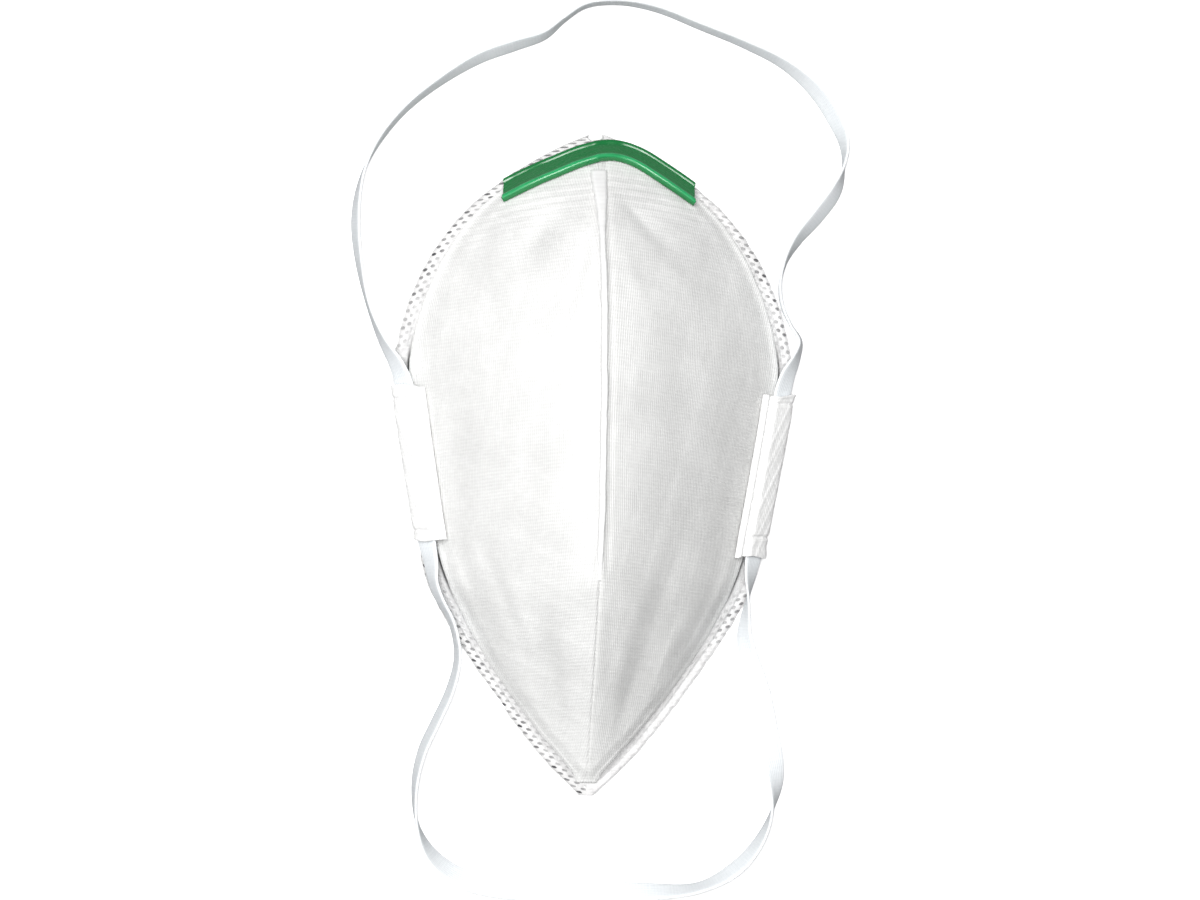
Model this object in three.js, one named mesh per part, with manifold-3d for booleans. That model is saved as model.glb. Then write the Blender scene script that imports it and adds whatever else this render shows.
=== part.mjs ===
// Vertical-fold filtering half mask, opened and lying on its face opening with the centre seam upwards.
// Millimetres, +Z up, +Y towards the nose, +X to the right as seen from above.
// The origin is on the resting surface, under the middle of the mask.
import * as THREE from "three";
import { LoftGeometry } from "three/addons/geometries/LoftGeometry.js";
import { mergeVertices } from "three/addons/utils/BufferGeometryUtils.js";
import Module from "manifold-3d";

const wasm = await Module();
wasm.setup();

// ---------------------------------------------------------------- driving dimensions

const GAP = 0.3; // clearance between pieces that touch on the real mask
const LINER_WALL = 1.2; // inner fleece with its filter layer
const COVER_WALL = 1.0; // outer cover cloth
const BORDER = 2.6; // width of the rim that lies flat on the surface
const SPLIT = 0.3; // gap between the left and the right half under the seam
const COVER_FROM = -85.6; // the cover's chin point
const COVER_TO = 85.9; // the cover's nose edge, under the clip
const STRAP_WIDTH = 6.2;
const STRAP_THICK = 0.9;
const SLEEVE_WIDTH = 8.6; // across the flat channel
const SLEEVE_HIGH = 3.0;
const SLEEVE_WALL = 0.8;
const SLEEVE_ENDS = { left: [-20.9, 20.6], right: [-24.1, 19.6] }; // along the cheek, from chin to nose
const PLEAT = 2.0; // raised fold of cloth beside the sleeve's inner edge
const CLIP_PLAN_WIDTH = 5.0; // the clip's width as seen from above

// Sections across the mask from chin to nose: the half width at the rim, the height of the centre ridge
// inside the wall, and the liner margin that the cover leaves bare at the rim.
const SECTIONS = [
  { y: -89.1, rim: 2.0, ridge: 0, margin: 3.6 },
  { y: -86.4, rim: 4.8, ridge: 0.3, margin: 4.0 },
  { y: -80, rim: 11.3, ridge: 5.2, margin: 5.0 },
  { y: -69, rim: 20.4, ridge: 14.8, margin: 4.7 },
  { y: -56, rim: 29.8, ridge: 27.2, margin: 4.5 },
  { y: -42, rim: 38.9, ridge: 39.6, margin: 5.1 },
  { y: -31, rim: 44.4, ridge: 47.8, margin: 5.6 },
  { y: -18, rim: 46.8, ridge: 53.6, margin: 4.2 },
  { y: 0, rim: 50.0, ridge: 56.6, margin: 4.0 },
  { y: 15, rim: 52.6, ridge: 56.8, margin: 4.0 },
  { y: 25, rim: 53.9, ridge: 55.6, margin: 4.2 },
  { y: 36, rim: 52.2, ridge: 52.4, margin: 3.9 },
  { y: 48, rim: 48.3, ridge: 45.8, margin: 3.9 },
  { y: 59, rim: 42.4, ridge: 35.4, margin: 3.6 },
  { y: 69, rim: 34.3, ridge: 22.6, margin: 3.3 },
  { y: 77, rim: 24.6, ridge: 11.6, margin: 3.8 },
  { y: 82.5, rim: 16.0, ridge: 4.8, margin: 4.8 },
  { y: 86.4, rim: 8.6, ridge: 0.9, margin: 5.4 },
  { y: 89.1, rim: 2.4, ridge: 0, margin: 5.4 },
];

// The fall of one side from the ridge (at 0) to the foot of the wall (at 1),
// as a share of the ridge's height.
const FALL = [
  { at: 0, share: 1 },
  { at: 0.16, share: 0.885 },
  { at: 0.36, share: 0.7 },
  { at: 0.6, share: 0.435 },
  { at: 0.8, share: 0.18 },
  { at: 0.9, share: 0.066 },
  { at: 1, share: 0 },
];

// Soft dents in the cloth: centre, depth, reach across and along, and the turn of the long axis in degrees.
const DENTS = [
  { x: -7, y: 50, depth: 1.3, across: 5, along: 11, turn: -30 },
  { x: 13, y: 61, depth: 1.1, across: 4, along: 9, turn: 35 },
  { x: 12, y: -52, depth: 1.5, across: 5, along: 16, turn: -12 },
  { x: -12, y: -52, depth: 1.4, across: 5, along: 16, turn: 12 },
  { x: -30, y: 52, depth: 0.8, across: 7, along: 16, turn: 25 },
  { x: 30, y: 48, depth: 0.7, across: 7, along: 16, turn: -25 },
];

// The clip's centre line as seen from above.
const CLIP_ROUTE = [
  { x: -26.2, y: 72.0 },
  { x: -18.6, y: 75.8 },
  { x: -10.9, y: 79.3 },
  { x: -3.4, y: 82.4 },
  { x: 3.6, y: 83.9 },
  { x: 10.0, y: 82.4 },
  { x: 17.2, y: 78.2 },
  { x: 27.0, y: 71.9 },
];

// Half width of the raised centre seam, and its height over the cover, from the front to the nose.
const SEAM = [
  { y: -30, half: 0.7, high: 1.0 },
  { y: -18, half: 0.9, high: 1.9 },
  { y: 10, half: 0.95, high: 2.3 },
  { y: 45, half: 0.95, high: 2.3 },
  { y: 63, half: 1.0, high: 2.2 },
  { y: 72, half: 1.8, high: 1.9 },
  { y: 79, half: 2.2, high: 1.2 },
];

// The straps lie in open loops. Each row is a place of the centre line seen from above, how far the lower
// edge is above the resting surface, and the band's roll about its length: 0 stands on edge, 90 lies flat,
// and a positive roll leans its upper edge to the right of the way it runs.
const UPPER_STRAP = [
  { x: -50.1, y: 14.0, lift: 3.23, roll: 49 },
  { x: -51.0, y: 20.4, lift: 3.22, roll: 50 },
  { x: -52.9, y: 25.6, lift: 2.9, roll: 38 },
  { x: -57.2, y: 32.9, lift: 1.8, roll: 16 },
  { x: -60.9, y: 42.0, lift: 0.3, roll: 6 },
  { x: -63.5, y: 53.0, lift: 0, roll: 14 },
  { x: -64.7, y: 63.7, lift: 0, roll: 19 },
  { x: -64.2, y: 71.8, lift: 0, roll: 13 },
  { x: -62.5, y: 78.8, lift: 0, roll: 2 },
  { x: -58.4, y: 86.9, lift: 0, roll: -9 },
  { x: -51.9, y: 95.0, lift: 0, roll: -12 },
  { x: -42.6, y: 102.7, lift: 0, roll: -17 },
  { x: -31.9, y: 109.3, lift: 0, roll: -25 },
  { x: -22.6, y: 112.8, lift: 0, roll: -25 },
  { x: -14.6, y: 115.7, lift: 0, roll: -17 },
  { x: -9.6, y: 119.9, lift: 0, roll: -9 },
  { x: -3.8, y: 123.8, lift: 0, roll: -8 },
  { x: 5.6, y: 124.9, lift: 0, roll: -8 },
  { x: 15.1, y: 123.4, lift: 0, roll: -10 },
  { x: 27.3, y: 118.9, lift: 0, roll: -12 },
  { x: 39.6, y: 114.2, lift: 0, roll: -15 },
  { x: 50.4, y: 109.0, lift: 0, roll: -22 },
  { x: 58.8, y: 102.1, lift: 0, roll: -34 },
  { x: 64.3, y: 94.2, lift: 0, roll: -36 },
  { x: 66.8, y: 87.5, lift: 0, roll: -18 },
  { x: 66.7, y: 81.8, lift: 0, roll: 3 },
  { x: 64.7, y: 75.2, lift: 0, roll: 32 },
  { x: 60.0, y: 68.4, lift: 0, roll: 36 },
  { x: 54.6, y: 61.8, lift: 0, roll: 25 },
  { x: 51.3, y: 55.7, lift: 0, roll: 10 },
  { x: 50.0, y: 49.6, lift: 0, roll: 3 },
  { x: 50.6, y: 44.0, lift: 0, roll: 1 },
  { x: 53.0, y: 38.7, lift: 0.1, roll: 5 },
  { x: 55.6, y: 34.2, lift: 0.9, roll: 10 },
  { x: 54.4, y: 29.6, lift: 2.3, roll: 24 },
  { x: 52.3, y: 25.0, lift: 3.0, roll: 42 },
  { x: 51.0, y: 20.4, lift: 3.22, roll: 50 },
  { x: 50.1, y: 14.0, lift: 3.23, roll: 49 },
];

const LOWER_STRAP = [
  { x: -45.4, y: -14.0, lift: 3.24, roll: -46 },
  { x: -44.2, y: -21.4, lift: 3.24, roll: -46 },
  { x: -43.0, y: -27.2, lift: 2.6, roll: -34 },
  { x: -42.4, y: -31.8, lift: 1.9, roll: -22 },
  { x: -40.4, y: -36.9, lift: 1.7, roll: -16 },
  { x: -37.6, y: -41.9, lift: 1.7, roll: -12 },
  { x: -35.8, y: -47.8, lift: 1.4, roll: -12 },
  { x: -35.4, y: -53.2, lift: 0.3, roll: -14 },
  { x: -37.3, y: -61.4, lift: 0, roll: -18 },
  { x: -41.1, y: -70.1, lift: 0, roll: -20 },
  { x: -44.5, y: -77.9, lift: 0, roll: -19 },
  { x: -46.3, y: -87.2, lift: 0, roll: -12 },
  { x: -45.4, y: -97.8, lift: 0, roll: 4 },
  { x: -41.2, y: -106.0, lift: 0, roll: 34 },
  { x: -33.7, y: -111.6, lift: 0, roll: 56 },
  { x: -22.8, y: -114.2, lift: 0, roll: 70 },
  { x: -10.6, y: -114.6, lift: 0, roll: 76 },
  { x: 3.0, y: -114.8, lift: 0, roll: 68 },
  { x: 17.0, y: -114.8, lift: 0, roll: 44 },
  { x: 31.0, y: -113.4, lift: 0, roll: 22 },
  { x: 40.6, y: -108.2, lift: 0, roll: 32 },
  { x: 46.8, y: -100.8, lift: 0, roll: 20 },
  { x: 50.2, y: -92.4, lift: 0, roll: -4 },
  { x: 51.0, y: -83.2, lift: 0, roll: -52 },
  { x: 48.8, y: -72.1, lift: 0, roll: -86 },
  { x: 46.1, y: -60.2, lift: 0, roll: -104 },
  { x: 43.2, y: -51.4, lift: 0, roll: -126 },
  { x: 41.9, y: -45.0, lift: 0.5, roll: -146 },
  { x: 42.1, y: -39.6, lift: 1.6, roll: -164 },
  { x: 42.6, y: -34.8, lift: 2.0, roll: -184 },
  { x: 43.0, y: -29.8, lift: 2.8, roll: -208 },
  { x: 43.7, y: -24.6, lift: 3.24, roll: -225 },
  { x: 45.4, y: -14.0, lift: 3.24, roll: -226 },
];

const UPPER_STEPS = 46;
const LOWER_STEPS = 34;

// ---------------------------------------------------------------- interpolation

// Reads a table as smooth curves: table.at(position) gives an object with the named columns.
class Table {
  constructor(rows, positions, columns) {
    this.columns = columns;
    const values = rows.flatMap((row) => columns.map((name) => row[name]));
    this.curve = new THREE.CubicInterpolant(
      Float64Array.from(positions),
      Float64Array.from(values),
      columns.length,
      new Float64Array(columns.length),
    );
  }

  at(position) {
    const found = this.curve.evaluate(position);
    return Object.fromEntries(this.columns.map((name, i) => [name, found[i]]));
  }
}

const column = (rows, name) => rows.map((row) => row[name]);
const sections = new Table(SECTIONS, column(SECTIONS, "y"), ["rim", "ridge", "margin"]);
const fall = new Table(FALL, column(FALL, "at"), ["share"]);
const seam = new Table(SEAM, column(SEAM, "y"), ["half", "high"]);

// ---------------------------------------------------------------- the mask's surface

function dent(x, y) {
  let depth = 0;
  for (const d of DENTS) {
    const turn = THREE.MathUtils.degToRad(d.turn);
    const dx = x - d.x;
    const dy = y - d.y;
    const across = (dx * Math.cos(turn) + dy * Math.sin(turn)) / d.across;
    const along = (dy * Math.cos(turn) - dx * Math.sin(turn)) / d.along;
    depth += d.depth * Math.exp(-(across * across + along * along));
  }
  return depth;
}

// Half width at which the sloping wall meets the flat border of the rim.
function foot(y) {
  const { rim } = sections.at(y);
  return rim - Math.min(BORDER, rim / 2);
}

// Half width of the cover's edge.
function coverHalf(y) {
  const { rim, margin } = sections.at(y);
  return Math.max(rim - margin, 0.45 * rim);
}

// Height of the liner's inner face: zero on the flat border, and the ridge at x = 0.
function rise(x, y) {
  const across = Math.min(Math.abs(x) / foot(y), 1);
  if (across >= 1) return 0;
  const { ridge } = sections.at(y);
  const slack = Math.sin(Math.PI * across) ** 0.5;
  return Math.max(ridge * fall.at(across).share - dent(x, y) * slack, 0);
}

// How much longer a wall measures upwards than square to its slope.
function slant(x, y) {
  const step = 0.5;
  const alongX = (rise(x + step, y) - rise(x - step, y)) / (2 * step);
  const alongY = (rise(x, y + step) - rise(x, y - step)) / (2 * step);
  return Math.min(Math.hypot(1, alongX, alongY), 2);
}

const LAYER = {
  linerIn: 0,
  linerOut: LINER_WALL,
  coverIn: LINER_WALL + GAP,
  coverOut: LINER_WALL + GAP + COVER_WALL,
};

// Height of a layer's face, square to the slope above the liner's inner face.
function height(x, y, layer) {
  return rise(x, y) + (layer === 0 ? 0 : layer * slant(x, y));
}

// A closed solid through a series of outlines that all have the same number of points.
function loft(rings) {
  return new THREE.BufferGeometry().copy(new LoftGeometry(rings, { capStart: true, capEnd: true }));
}

// ---------------------------------------------------------------- shells

const ACROSS = [0, 0.1, 0.24, 0.4, 0.56, 0.7, 0.82, 0.92, 1]; // shares of the cover's half width
const COVER_ROWS = 30;

// Rows from chin to nose, closer together towards both points.
function coverRows() {
  const rows = [];
  for (let i = 0; i <= COVER_ROWS; i++) {
    const u = i / COVER_ROWS;
    const eased = u - 0.075 * Math.sin(2 * Math.PI * u);
    rows.push(COVER_FROM + (COVER_TO - COVER_FROM) * eased);
  }
  return rows;
}

// One half of a shell as a loft of closed wall sections. side is -1 for left and 1 for right.
function shell(rows, side, inner, outer, columns) {
  const rings = rows.map((y) => {
    const xs = columns(y).map((x) => side * x);
    const top = xs.map((x) => new THREE.Vector3(x, y, height(x, y, outer)));
    const under = xs.map((x) => new THREE.Vector3(x, y, height(x, y, inner)));
    return [...top, ...under.reverse()];
  });
  if (side < 0) rings.forEach((ring) => ring.reverse());
  return loft(rings);
}

const domeColumns = (y) => ACROSS.map((share) => THREE.MathUtils.lerp(SPLIT / 2, coverHalf(y), share));

function linerColumns(y) {
  const { rim } = sections.at(y);
  const edge = coverHalf(y);
  const inside = Math.max(foot(y), edge + 0.1 * (rim - edge));
  return [...domeColumns(y), inside, rim];
}

function liner(side) {
  const first = SECTIONS[0].y;
  const last = SECTIONS[SECTIONS.length - 1].y;
  const rows = [first, (first + COVER_FROM) / 2, ...coverRows(), (last + COVER_TO) / 2, last];
  return shell(rows, side, LAYER.linerIn, LAYER.linerOut, linerColumns);
}

const cover = (side) => shell(coverRows(), side, LAYER.coverIn, LAYER.coverOut, domeColumns);

// ---------------------------------------------------------------- seam

// The raised weld along the ridge, notched underneath to sit over the crease.
function centreSeam() {
  const from = SEAM[0].y;
  const to = SEAM[SEAM.length - 1].y;
  const steps = 20;
  const chamfer = 0.35;
  const rings = [];
  for (let i = 0; i <= steps; i++) {
    const y = from + ((to - from) * i) / steps;
    const { half, high } = seam.at(y);
    const base = (x) => height(x, y, LAYER.coverOut) + 1.5 * GAP;
    const top = base(0) + high;
    rings.push([
      new THREE.Vector3(-half, y, base(half)),
      new THREE.Vector3(-half, y, top - chamfer),
      new THREE.Vector3(-half + chamfer, y, top),
      new THREE.Vector3(half - chamfer, y, top),
      new THREE.Vector3(half, y, top - chamfer),
      new THREE.Vector3(half, y, base(half)),
      new THREE.Vector3(0, y, base(0)),
    ]);
  }
  return loft(rings);
}

// The end of the weld, a small pillow on the rim above the clip.
function seamEnd() {
  const end = new THREE.SphereGeometry(1, 12, 8);
  end.scale(1.9, 1.25, 0.8);
  end.translate(-0.5, 88.3, LINER_WALL + GAP + 0.8);
  return end;
}

// ---------------------------------------------------------------- nose clip

// The clip's section: a shallow channel with a thin rib on its nose edge and a broad one on the other.
// along runs from the nose edge (0) to the other edge (1), up is in millimetres.
const CLIP_SECTION = [
  { along: 0, up: 0 },
  { along: 1, up: 0 },
  { along: 1, up: 1.3 },
  { along: 0.93, up: 1.75 },
  { along: 0.8, up: 1.7 },
  { along: 0.72, up: 1.1 },
  { along: 0.2, up: 1.1 },
  { along: 0.14, up: 1.6 },
  { along: 0.04, up: 1.6 },
  { along: 0, up: 1.3 },
];
const CLIP_TRIM = 3.0; // how much shorter the nose edge is at each end

function noseClip() {
  const route = new THREE.CatmullRomCurve3(
    CLIP_ROUTE.map(({ x, y }) => new THREE.Vector3(x, y, 0)),
  );
  const steps = 22;
  const trim = CLIP_TRIM / route.getLength();
  const up = new THREE.Vector3(0, 0, 1);
  // A point on the face under the clip, at a share of its length and a distance from its centre line.
  const seat = (share, off) => {
    const point = route.getPointAt(share);
    const side = new THREE.Vector3().crossVectors(route.getTangentAt(share), up);
    point.addScaledVector(side, off);
    point.z = height(point.x, point.y, LAYER.coverOut);
    return point;
  };
  const rings = [];
  for (let i = 0; i <= steps; i++) {
    const share = i / steps;
    const nose = seat(trim + (1 - 2 * trim) * share, -CLIP_PLAN_WIDTH / 2);
    const brow = seat(share, CLIP_PLAN_WIDTH / 2);
    const middle = seat(trim / 2 + (1 - trim) * share, 0);
    const hump = Math.max(middle.z - (nose.z + brow.z) / 2, 0);
    const across = brow.clone().sub(nose);
    const tangent = route.getTangentAt(share);
    const normal = new THREE.Vector3().crossVectors(across, tangent).normalize();
    const lift = 1.6 * GAP + hump;
    const ring = CLIP_SECTION.map((p) =>
      nose.clone().addScaledVector(across, p.along).addScaledVector(normal, p.up + lift),
    );
    rings.push(ring.reverse());
  }
  return loft(rings);
}

// ---------------------------------------------------------------- sleeves

// The sleeve's outside, with the pleat beside it, and its hollow, in millimetres across and up.
const SLEEVE_OUTSIDE = [
  [0.3, 0],
  [SLEEVE_WIDTH + PLEAT, 0],
  [SLEEVE_WIDTH + PLEAT, 0.9],
  [SLEEVE_WIDTH + 0.65 * PLEAT, 1.8],
  [SLEEVE_WIDTH + 0.25 * PLEAT, 1.6],
  [SLEEVE_WIDTH, 1.1],
  [SLEEVE_WIDTH - 0.6, 2.5],
  [SLEEVE_WIDTH - 1.8, SLEEVE_HIGH],
  [1.8, SLEEVE_HIGH],
  [0.4, 2.4],
  [0, 1.4],
];
const SLEEVE_HOLLOW = [
  [SLEEVE_WALL + 0.1, SLEEVE_WALL],
  [SLEEVE_WIDTH - SLEEVE_WALL - 0.1, SLEEVE_WALL],
  [SLEEVE_WIDTH - SLEEVE_WALL - 0.2, SLEEVE_HIGH - SLEEVE_WALL],
  [SLEEVE_WALL + 0.2, SLEEVE_HIGH - SLEEVE_WALL],
];
const SLEEVE_PLAN = 8.4; // width of sleeve and pleat as seen from above

// The frame of the sleeve at one place: its outer lower edge, and the directions across and up.
function sleeveFrame(y, side) {
  const { rim } = sections.at(y);
  const outer = new THREE.Vector3(rim - 0.1, y, LINER_WALL + 1.5 * GAP);
  const inner = new THREE.Vector3(rim - SLEEVE_PLAN, y, 0);
  inner.z = height(inner.x, y, LAYER.coverOut) + 2 * GAP;
  const across = inner.clone().sub(outer).normalize();
  const up = new THREE.Vector3(-across.z, 0, across.x).negate();
  let lift = 0;
  for (let share = 0.1; share < 1; share += 0.1) {
    const at = outer.clone().lerp(inner, share);
    const edge = coverHalf(y);
    const layer = at.x <= edge + 0.3 ? LAYER.coverOut : LAYER.linerOut;
    lift = Math.max(lift, height(at.x, y, layer) + 1.3 * GAP - at.z);
  }
  outer.addScaledVector(up, lift);
  for (const v of [outer, across, up]) v.x *= side;
  return { outer, across, up };
}

function sleeveLoft(outline, [from, to], side) {
  const steps = 6;
  const rings = [];
  for (let i = 0; i <= steps; i++) {
    const { outer, across, up } = sleeveFrame(from + ((to - from) * i) / steps, side);
    const ring = outline.map(([a, n]) =>
      outer.clone().addScaledVector(across, a).addScaledVector(up, n),
    );
    rings.push(side < 0 ? ring.reverse() : ring);
  }
  return loft(rings);
}

// A closed geometry as a solid that can be cut.
function solidOf(geometry) {
  const bare = geometry.clone();
  bare.deleteAttribute("normal");
  bare.deleteAttribute("uv");
  const merged = mergeVertices(bare, 1e-4);
  return new wasm.Manifold(
    new wasm.Mesh({
      numProp: 3,
      vertProperties: merged.attributes.position.array,
      triVerts: new Uint32Array(merged.index.array),
    }),
  );
}

function geometryOf(solid) {
  const mesh = solid.getMesh();
  return new THREE.BufferGeometry()
    .setAttribute("position", new THREE.BufferAttribute(mesh.vertProperties, 3))
    .setIndex(new THREE.BufferAttribute(mesh.triVerts, 1));
}

// A flat channel of cloth along the cheek, open at both ends, that the strap runs through.
function sleeve(side) {
  const [from, to] = side < 0 ? SLEEVE_ENDS.left : SLEEVE_ENDS.right;
  const outside = sleeveLoft(SLEEVE_OUTSIDE, [from, to], side);
  const hollow = sleeveLoft(SLEEVE_HOLLOW, [from - 1, to + 1], side);
  return geometryOf(solidOf(outside).subtract(solidOf(hollow)));
}

// ---------------------------------------------------------------- straps

// The strap's centre line. Its height follows from the roll, so that the lower edge keeps its lift.
class StrapPath extends THREE.Curve {
  constructor(route) {
    super();
    const along = [0];
    for (let i = 1; i < route.length; i++) {
      const step = Math.hypot(route[i].x - route[i - 1].x, route[i].y - route[i - 1].y);
      along.push(along[i - 1] + step);
    }
    this.reach = along[along.length - 1];
    this.route = new Table(route, along, ["x", "y", "lift", "roll"]);
  }

  getPoint(t, target = new THREE.Vector3()) {
    const { x, y, lift, roll } = this.route.at(t * this.reach);
    const turn = THREE.MathUtils.degToRad(roll);
    const wide = (STRAP_WIDTH / 2) * Math.abs(Math.cos(turn));
    const thick = (STRAP_THICK / 2) * Math.abs(Math.sin(turn));
    return target.set(x, y, Math.max(lift, 0) + wide + thick);
  }

  computeFrenetFrames(segments) {
    const frames = { tangents: [], normals: [], binormals: [] };
    const up = new THREE.Vector3(0, 0, 1);
    for (let i = 0; i <= segments; i++) {
      const u = i / segments;
      const { roll } = this.route.at(this.getUtoTmapping(u) * this.reach);
      const turn = THREE.MathUtils.degToRad(roll);
      const tangent = this.getTangentAt(u).setZ(0).normalize();
      const side = new THREE.Vector3().crossVectors(tangent, up);
      const normal = up.clone().multiplyScalar(Math.cos(turn)).addScaledVector(side, Math.sin(turn));
      frames.tangents.push(tangent);
      frames.normals.push(normal);
      frames.binormals.push(new THREE.Vector3().crossVectors(tangent, normal));
    }
    return frames;
  }
}

// A band with eight sides: wide along the section's x, thin along its y.
function strap(route, steps) {
  const wide = STRAP_WIDTH / 2;
  const thick = STRAP_THICK / 2;
  const ease = 0.3;
  const section = new THREE.Shape([
    new THREE.Vector2(wide, thick - ease),
    new THREE.Vector2(wide - ease, thick),
    new THREE.Vector2(-wide + ease, thick),
    new THREE.Vector2(-wide, thick - ease),
    new THREE.Vector2(-wide, ease - thick),
    new THREE.Vector2(-wide + ease, -thick),
    new THREE.Vector2(wide - ease, -thick),
    new THREE.Vector2(wide, ease - thick),
  ]);
  return new THREE.ExtrudeGeometry(section, { steps, extrudePath: new StrapPath(route) });
}

// ---------------------------------------------------------------- assembly

const FINISH = {
  cover: new THREE.MeshStandardMaterial({ color: 0xe6e6e4, roughness: 0.9, metalness: 0 }),
  liner: new THREE.MeshStandardMaterial({ color: 0xdcdad8, roughness: 0.95, metalness: 0 }),
  sleeve: new THREE.MeshStandardMaterial({ color: 0xebebe9, roughness: 0.9, metalness: 0 }),
  clip: new THREE.MeshStandardMaterial({ color: 0x0f7a3a, roughness: 0.35, metalness: 0 }),
  strap: new THREE.MeshStandardMaterial({ color: 0xe9eef0, roughness: 0.7, metalness: 0 }),
};

const mask = new THREE.Group();

function add(name, geometry, material) {
  const mesh = new THREE.Mesh(geometry, material);
  mesh.name = name;
  mask.add(mesh);
}

for (const [name, side] of [["left", -1], ["right", 1]]) {
  add("liner_" + name, liner(side), FINISH.liner);
  add("cover_" + name, cover(side), FINISH.cover);
  add("sleeve_" + name, sleeve(side), FINISH.sleeve);
}
add("centre_seam", centreSeam(), FINISH.cover);
add("seam_end", seamEnd(), FINISH.cover);
add("nose_clip", noseClip(), FINISH.clip);
add("upper_strap", strap(UPPER_STRAP, UPPER_STEPS), FINISH.strap);
add("lower_strap", strap(LOWER_STRAP, LOWER_STEPS), FINISH.strap);

export default mask;
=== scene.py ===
"""Looks of a vertical-fold filtering half mask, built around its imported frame.

The tables are in millimetres in the mask's own frame: +Z up from the surface that it lies on, +Y towards the nose
and +X to the right as seen from above. Every mesh is made in metres in that same frame.
"""

import logging
import math
from collections.abc import Callable, Sequence
from dataclasses import dataclass, field
from enum import Enum

import bmesh
import bpy
import numpy as np
from mathutils import Matrix, Vector


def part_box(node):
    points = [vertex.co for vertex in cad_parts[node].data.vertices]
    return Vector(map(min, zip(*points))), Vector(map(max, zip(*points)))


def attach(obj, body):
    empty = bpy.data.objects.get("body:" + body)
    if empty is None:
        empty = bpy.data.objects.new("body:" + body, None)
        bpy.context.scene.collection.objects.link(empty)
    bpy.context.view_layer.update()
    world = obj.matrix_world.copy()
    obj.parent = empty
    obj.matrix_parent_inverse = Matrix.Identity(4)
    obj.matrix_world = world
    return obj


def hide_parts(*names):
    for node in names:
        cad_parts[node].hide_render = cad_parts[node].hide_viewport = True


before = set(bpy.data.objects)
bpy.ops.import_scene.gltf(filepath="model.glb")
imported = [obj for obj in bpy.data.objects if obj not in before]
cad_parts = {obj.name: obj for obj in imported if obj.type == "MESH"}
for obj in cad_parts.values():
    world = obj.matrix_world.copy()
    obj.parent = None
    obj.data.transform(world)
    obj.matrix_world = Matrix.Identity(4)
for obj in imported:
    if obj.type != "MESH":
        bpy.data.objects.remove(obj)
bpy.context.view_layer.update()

MM = 0.001
log = logging.getLogger("half_mask")

Array = np.ndarray
Face = Callable[[Array, Array], Array]
Source = bpy.types.NodeSocket | float | tuple


# ---------------------------------------------------------------- sizes shared by the pieces, in millimetres

GAP = 0.3
LINER_WALL = 1.2
COVER_WALL = 1.0
BORDER = 2.6
COVER_FROM = -85.6
COVER_TO = 85.9
STRAP_WIDTH = 6.2
STRAP_THICK = 0.9
SLEEVE_PLAN = 8.4
CLIP_PLAN_WIDTH = 5.0
CLIP_TRIM = 3.0

# y, half width at the rim, height of the ridge, margin of the liner that the cover leaves bare
SECTIONS = (
    (-89.1, 2.0, 0, 3.6),
    (-86.4, 4.8, 0.3, 4.0),
    (-80, 11.3, 5.2, 5.0),
    (-69, 20.4, 14.8, 4.7),
    (-56, 29.8, 27.2, 4.5),
    (-42, 38.9, 39.6, 5.1),
    (-31, 44.4, 47.8, 5.6),
    (-18, 46.8, 53.6, 4.2),
    (0, 50.0, 56.6, 4.0),
    (15, 52.6, 56.8, 4.0),
    (25, 53.9, 55.6, 4.2),
    (36, 52.2, 52.4, 3.9),
    (48, 48.3, 45.8, 3.9),
    (59, 42.4, 35.4, 3.6),
    (69, 34.3, 22.6, 3.3),
    (77, 24.6, 11.6, 3.8),
    (82.5, 16.0, 4.8, 4.8),
    (86.4, 8.6, 0.9, 5.4),
    (89.1, 2.4, 0, 5.4),
)

# share of the way from the ridge to the foot of the wall, share of the ridge's height
FALL = ((0, 1), (0.16, 0.885), (0.36, 0.7), (0.6, 0.435), (0.8, 0.18), (0.9, 0.066), (1, 0))

# y, half width and height of the raised centre seam
SEAM = (
    (-30, 0.7, 1.0),
    (-18, 0.9, 1.9),
    (10, 0.95, 2.3),
    (45, 0.95, 2.3),
    (63, 1.0, 2.2),
    (72, 1.8, 1.9),
    (79, 2.2, 1.2),
)

# the clip's centre line seen from above
CLIP_ROUTE = (
    (-26.2, 72.0),
    (-18.6, 75.8),
    (-10.9, 79.3),
    (-3.4, 82.4),
    (3.6, 83.9),
    (10.0, 82.4),
    (17.2, 78.2),
    (27.0, 71.9),
)

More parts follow.
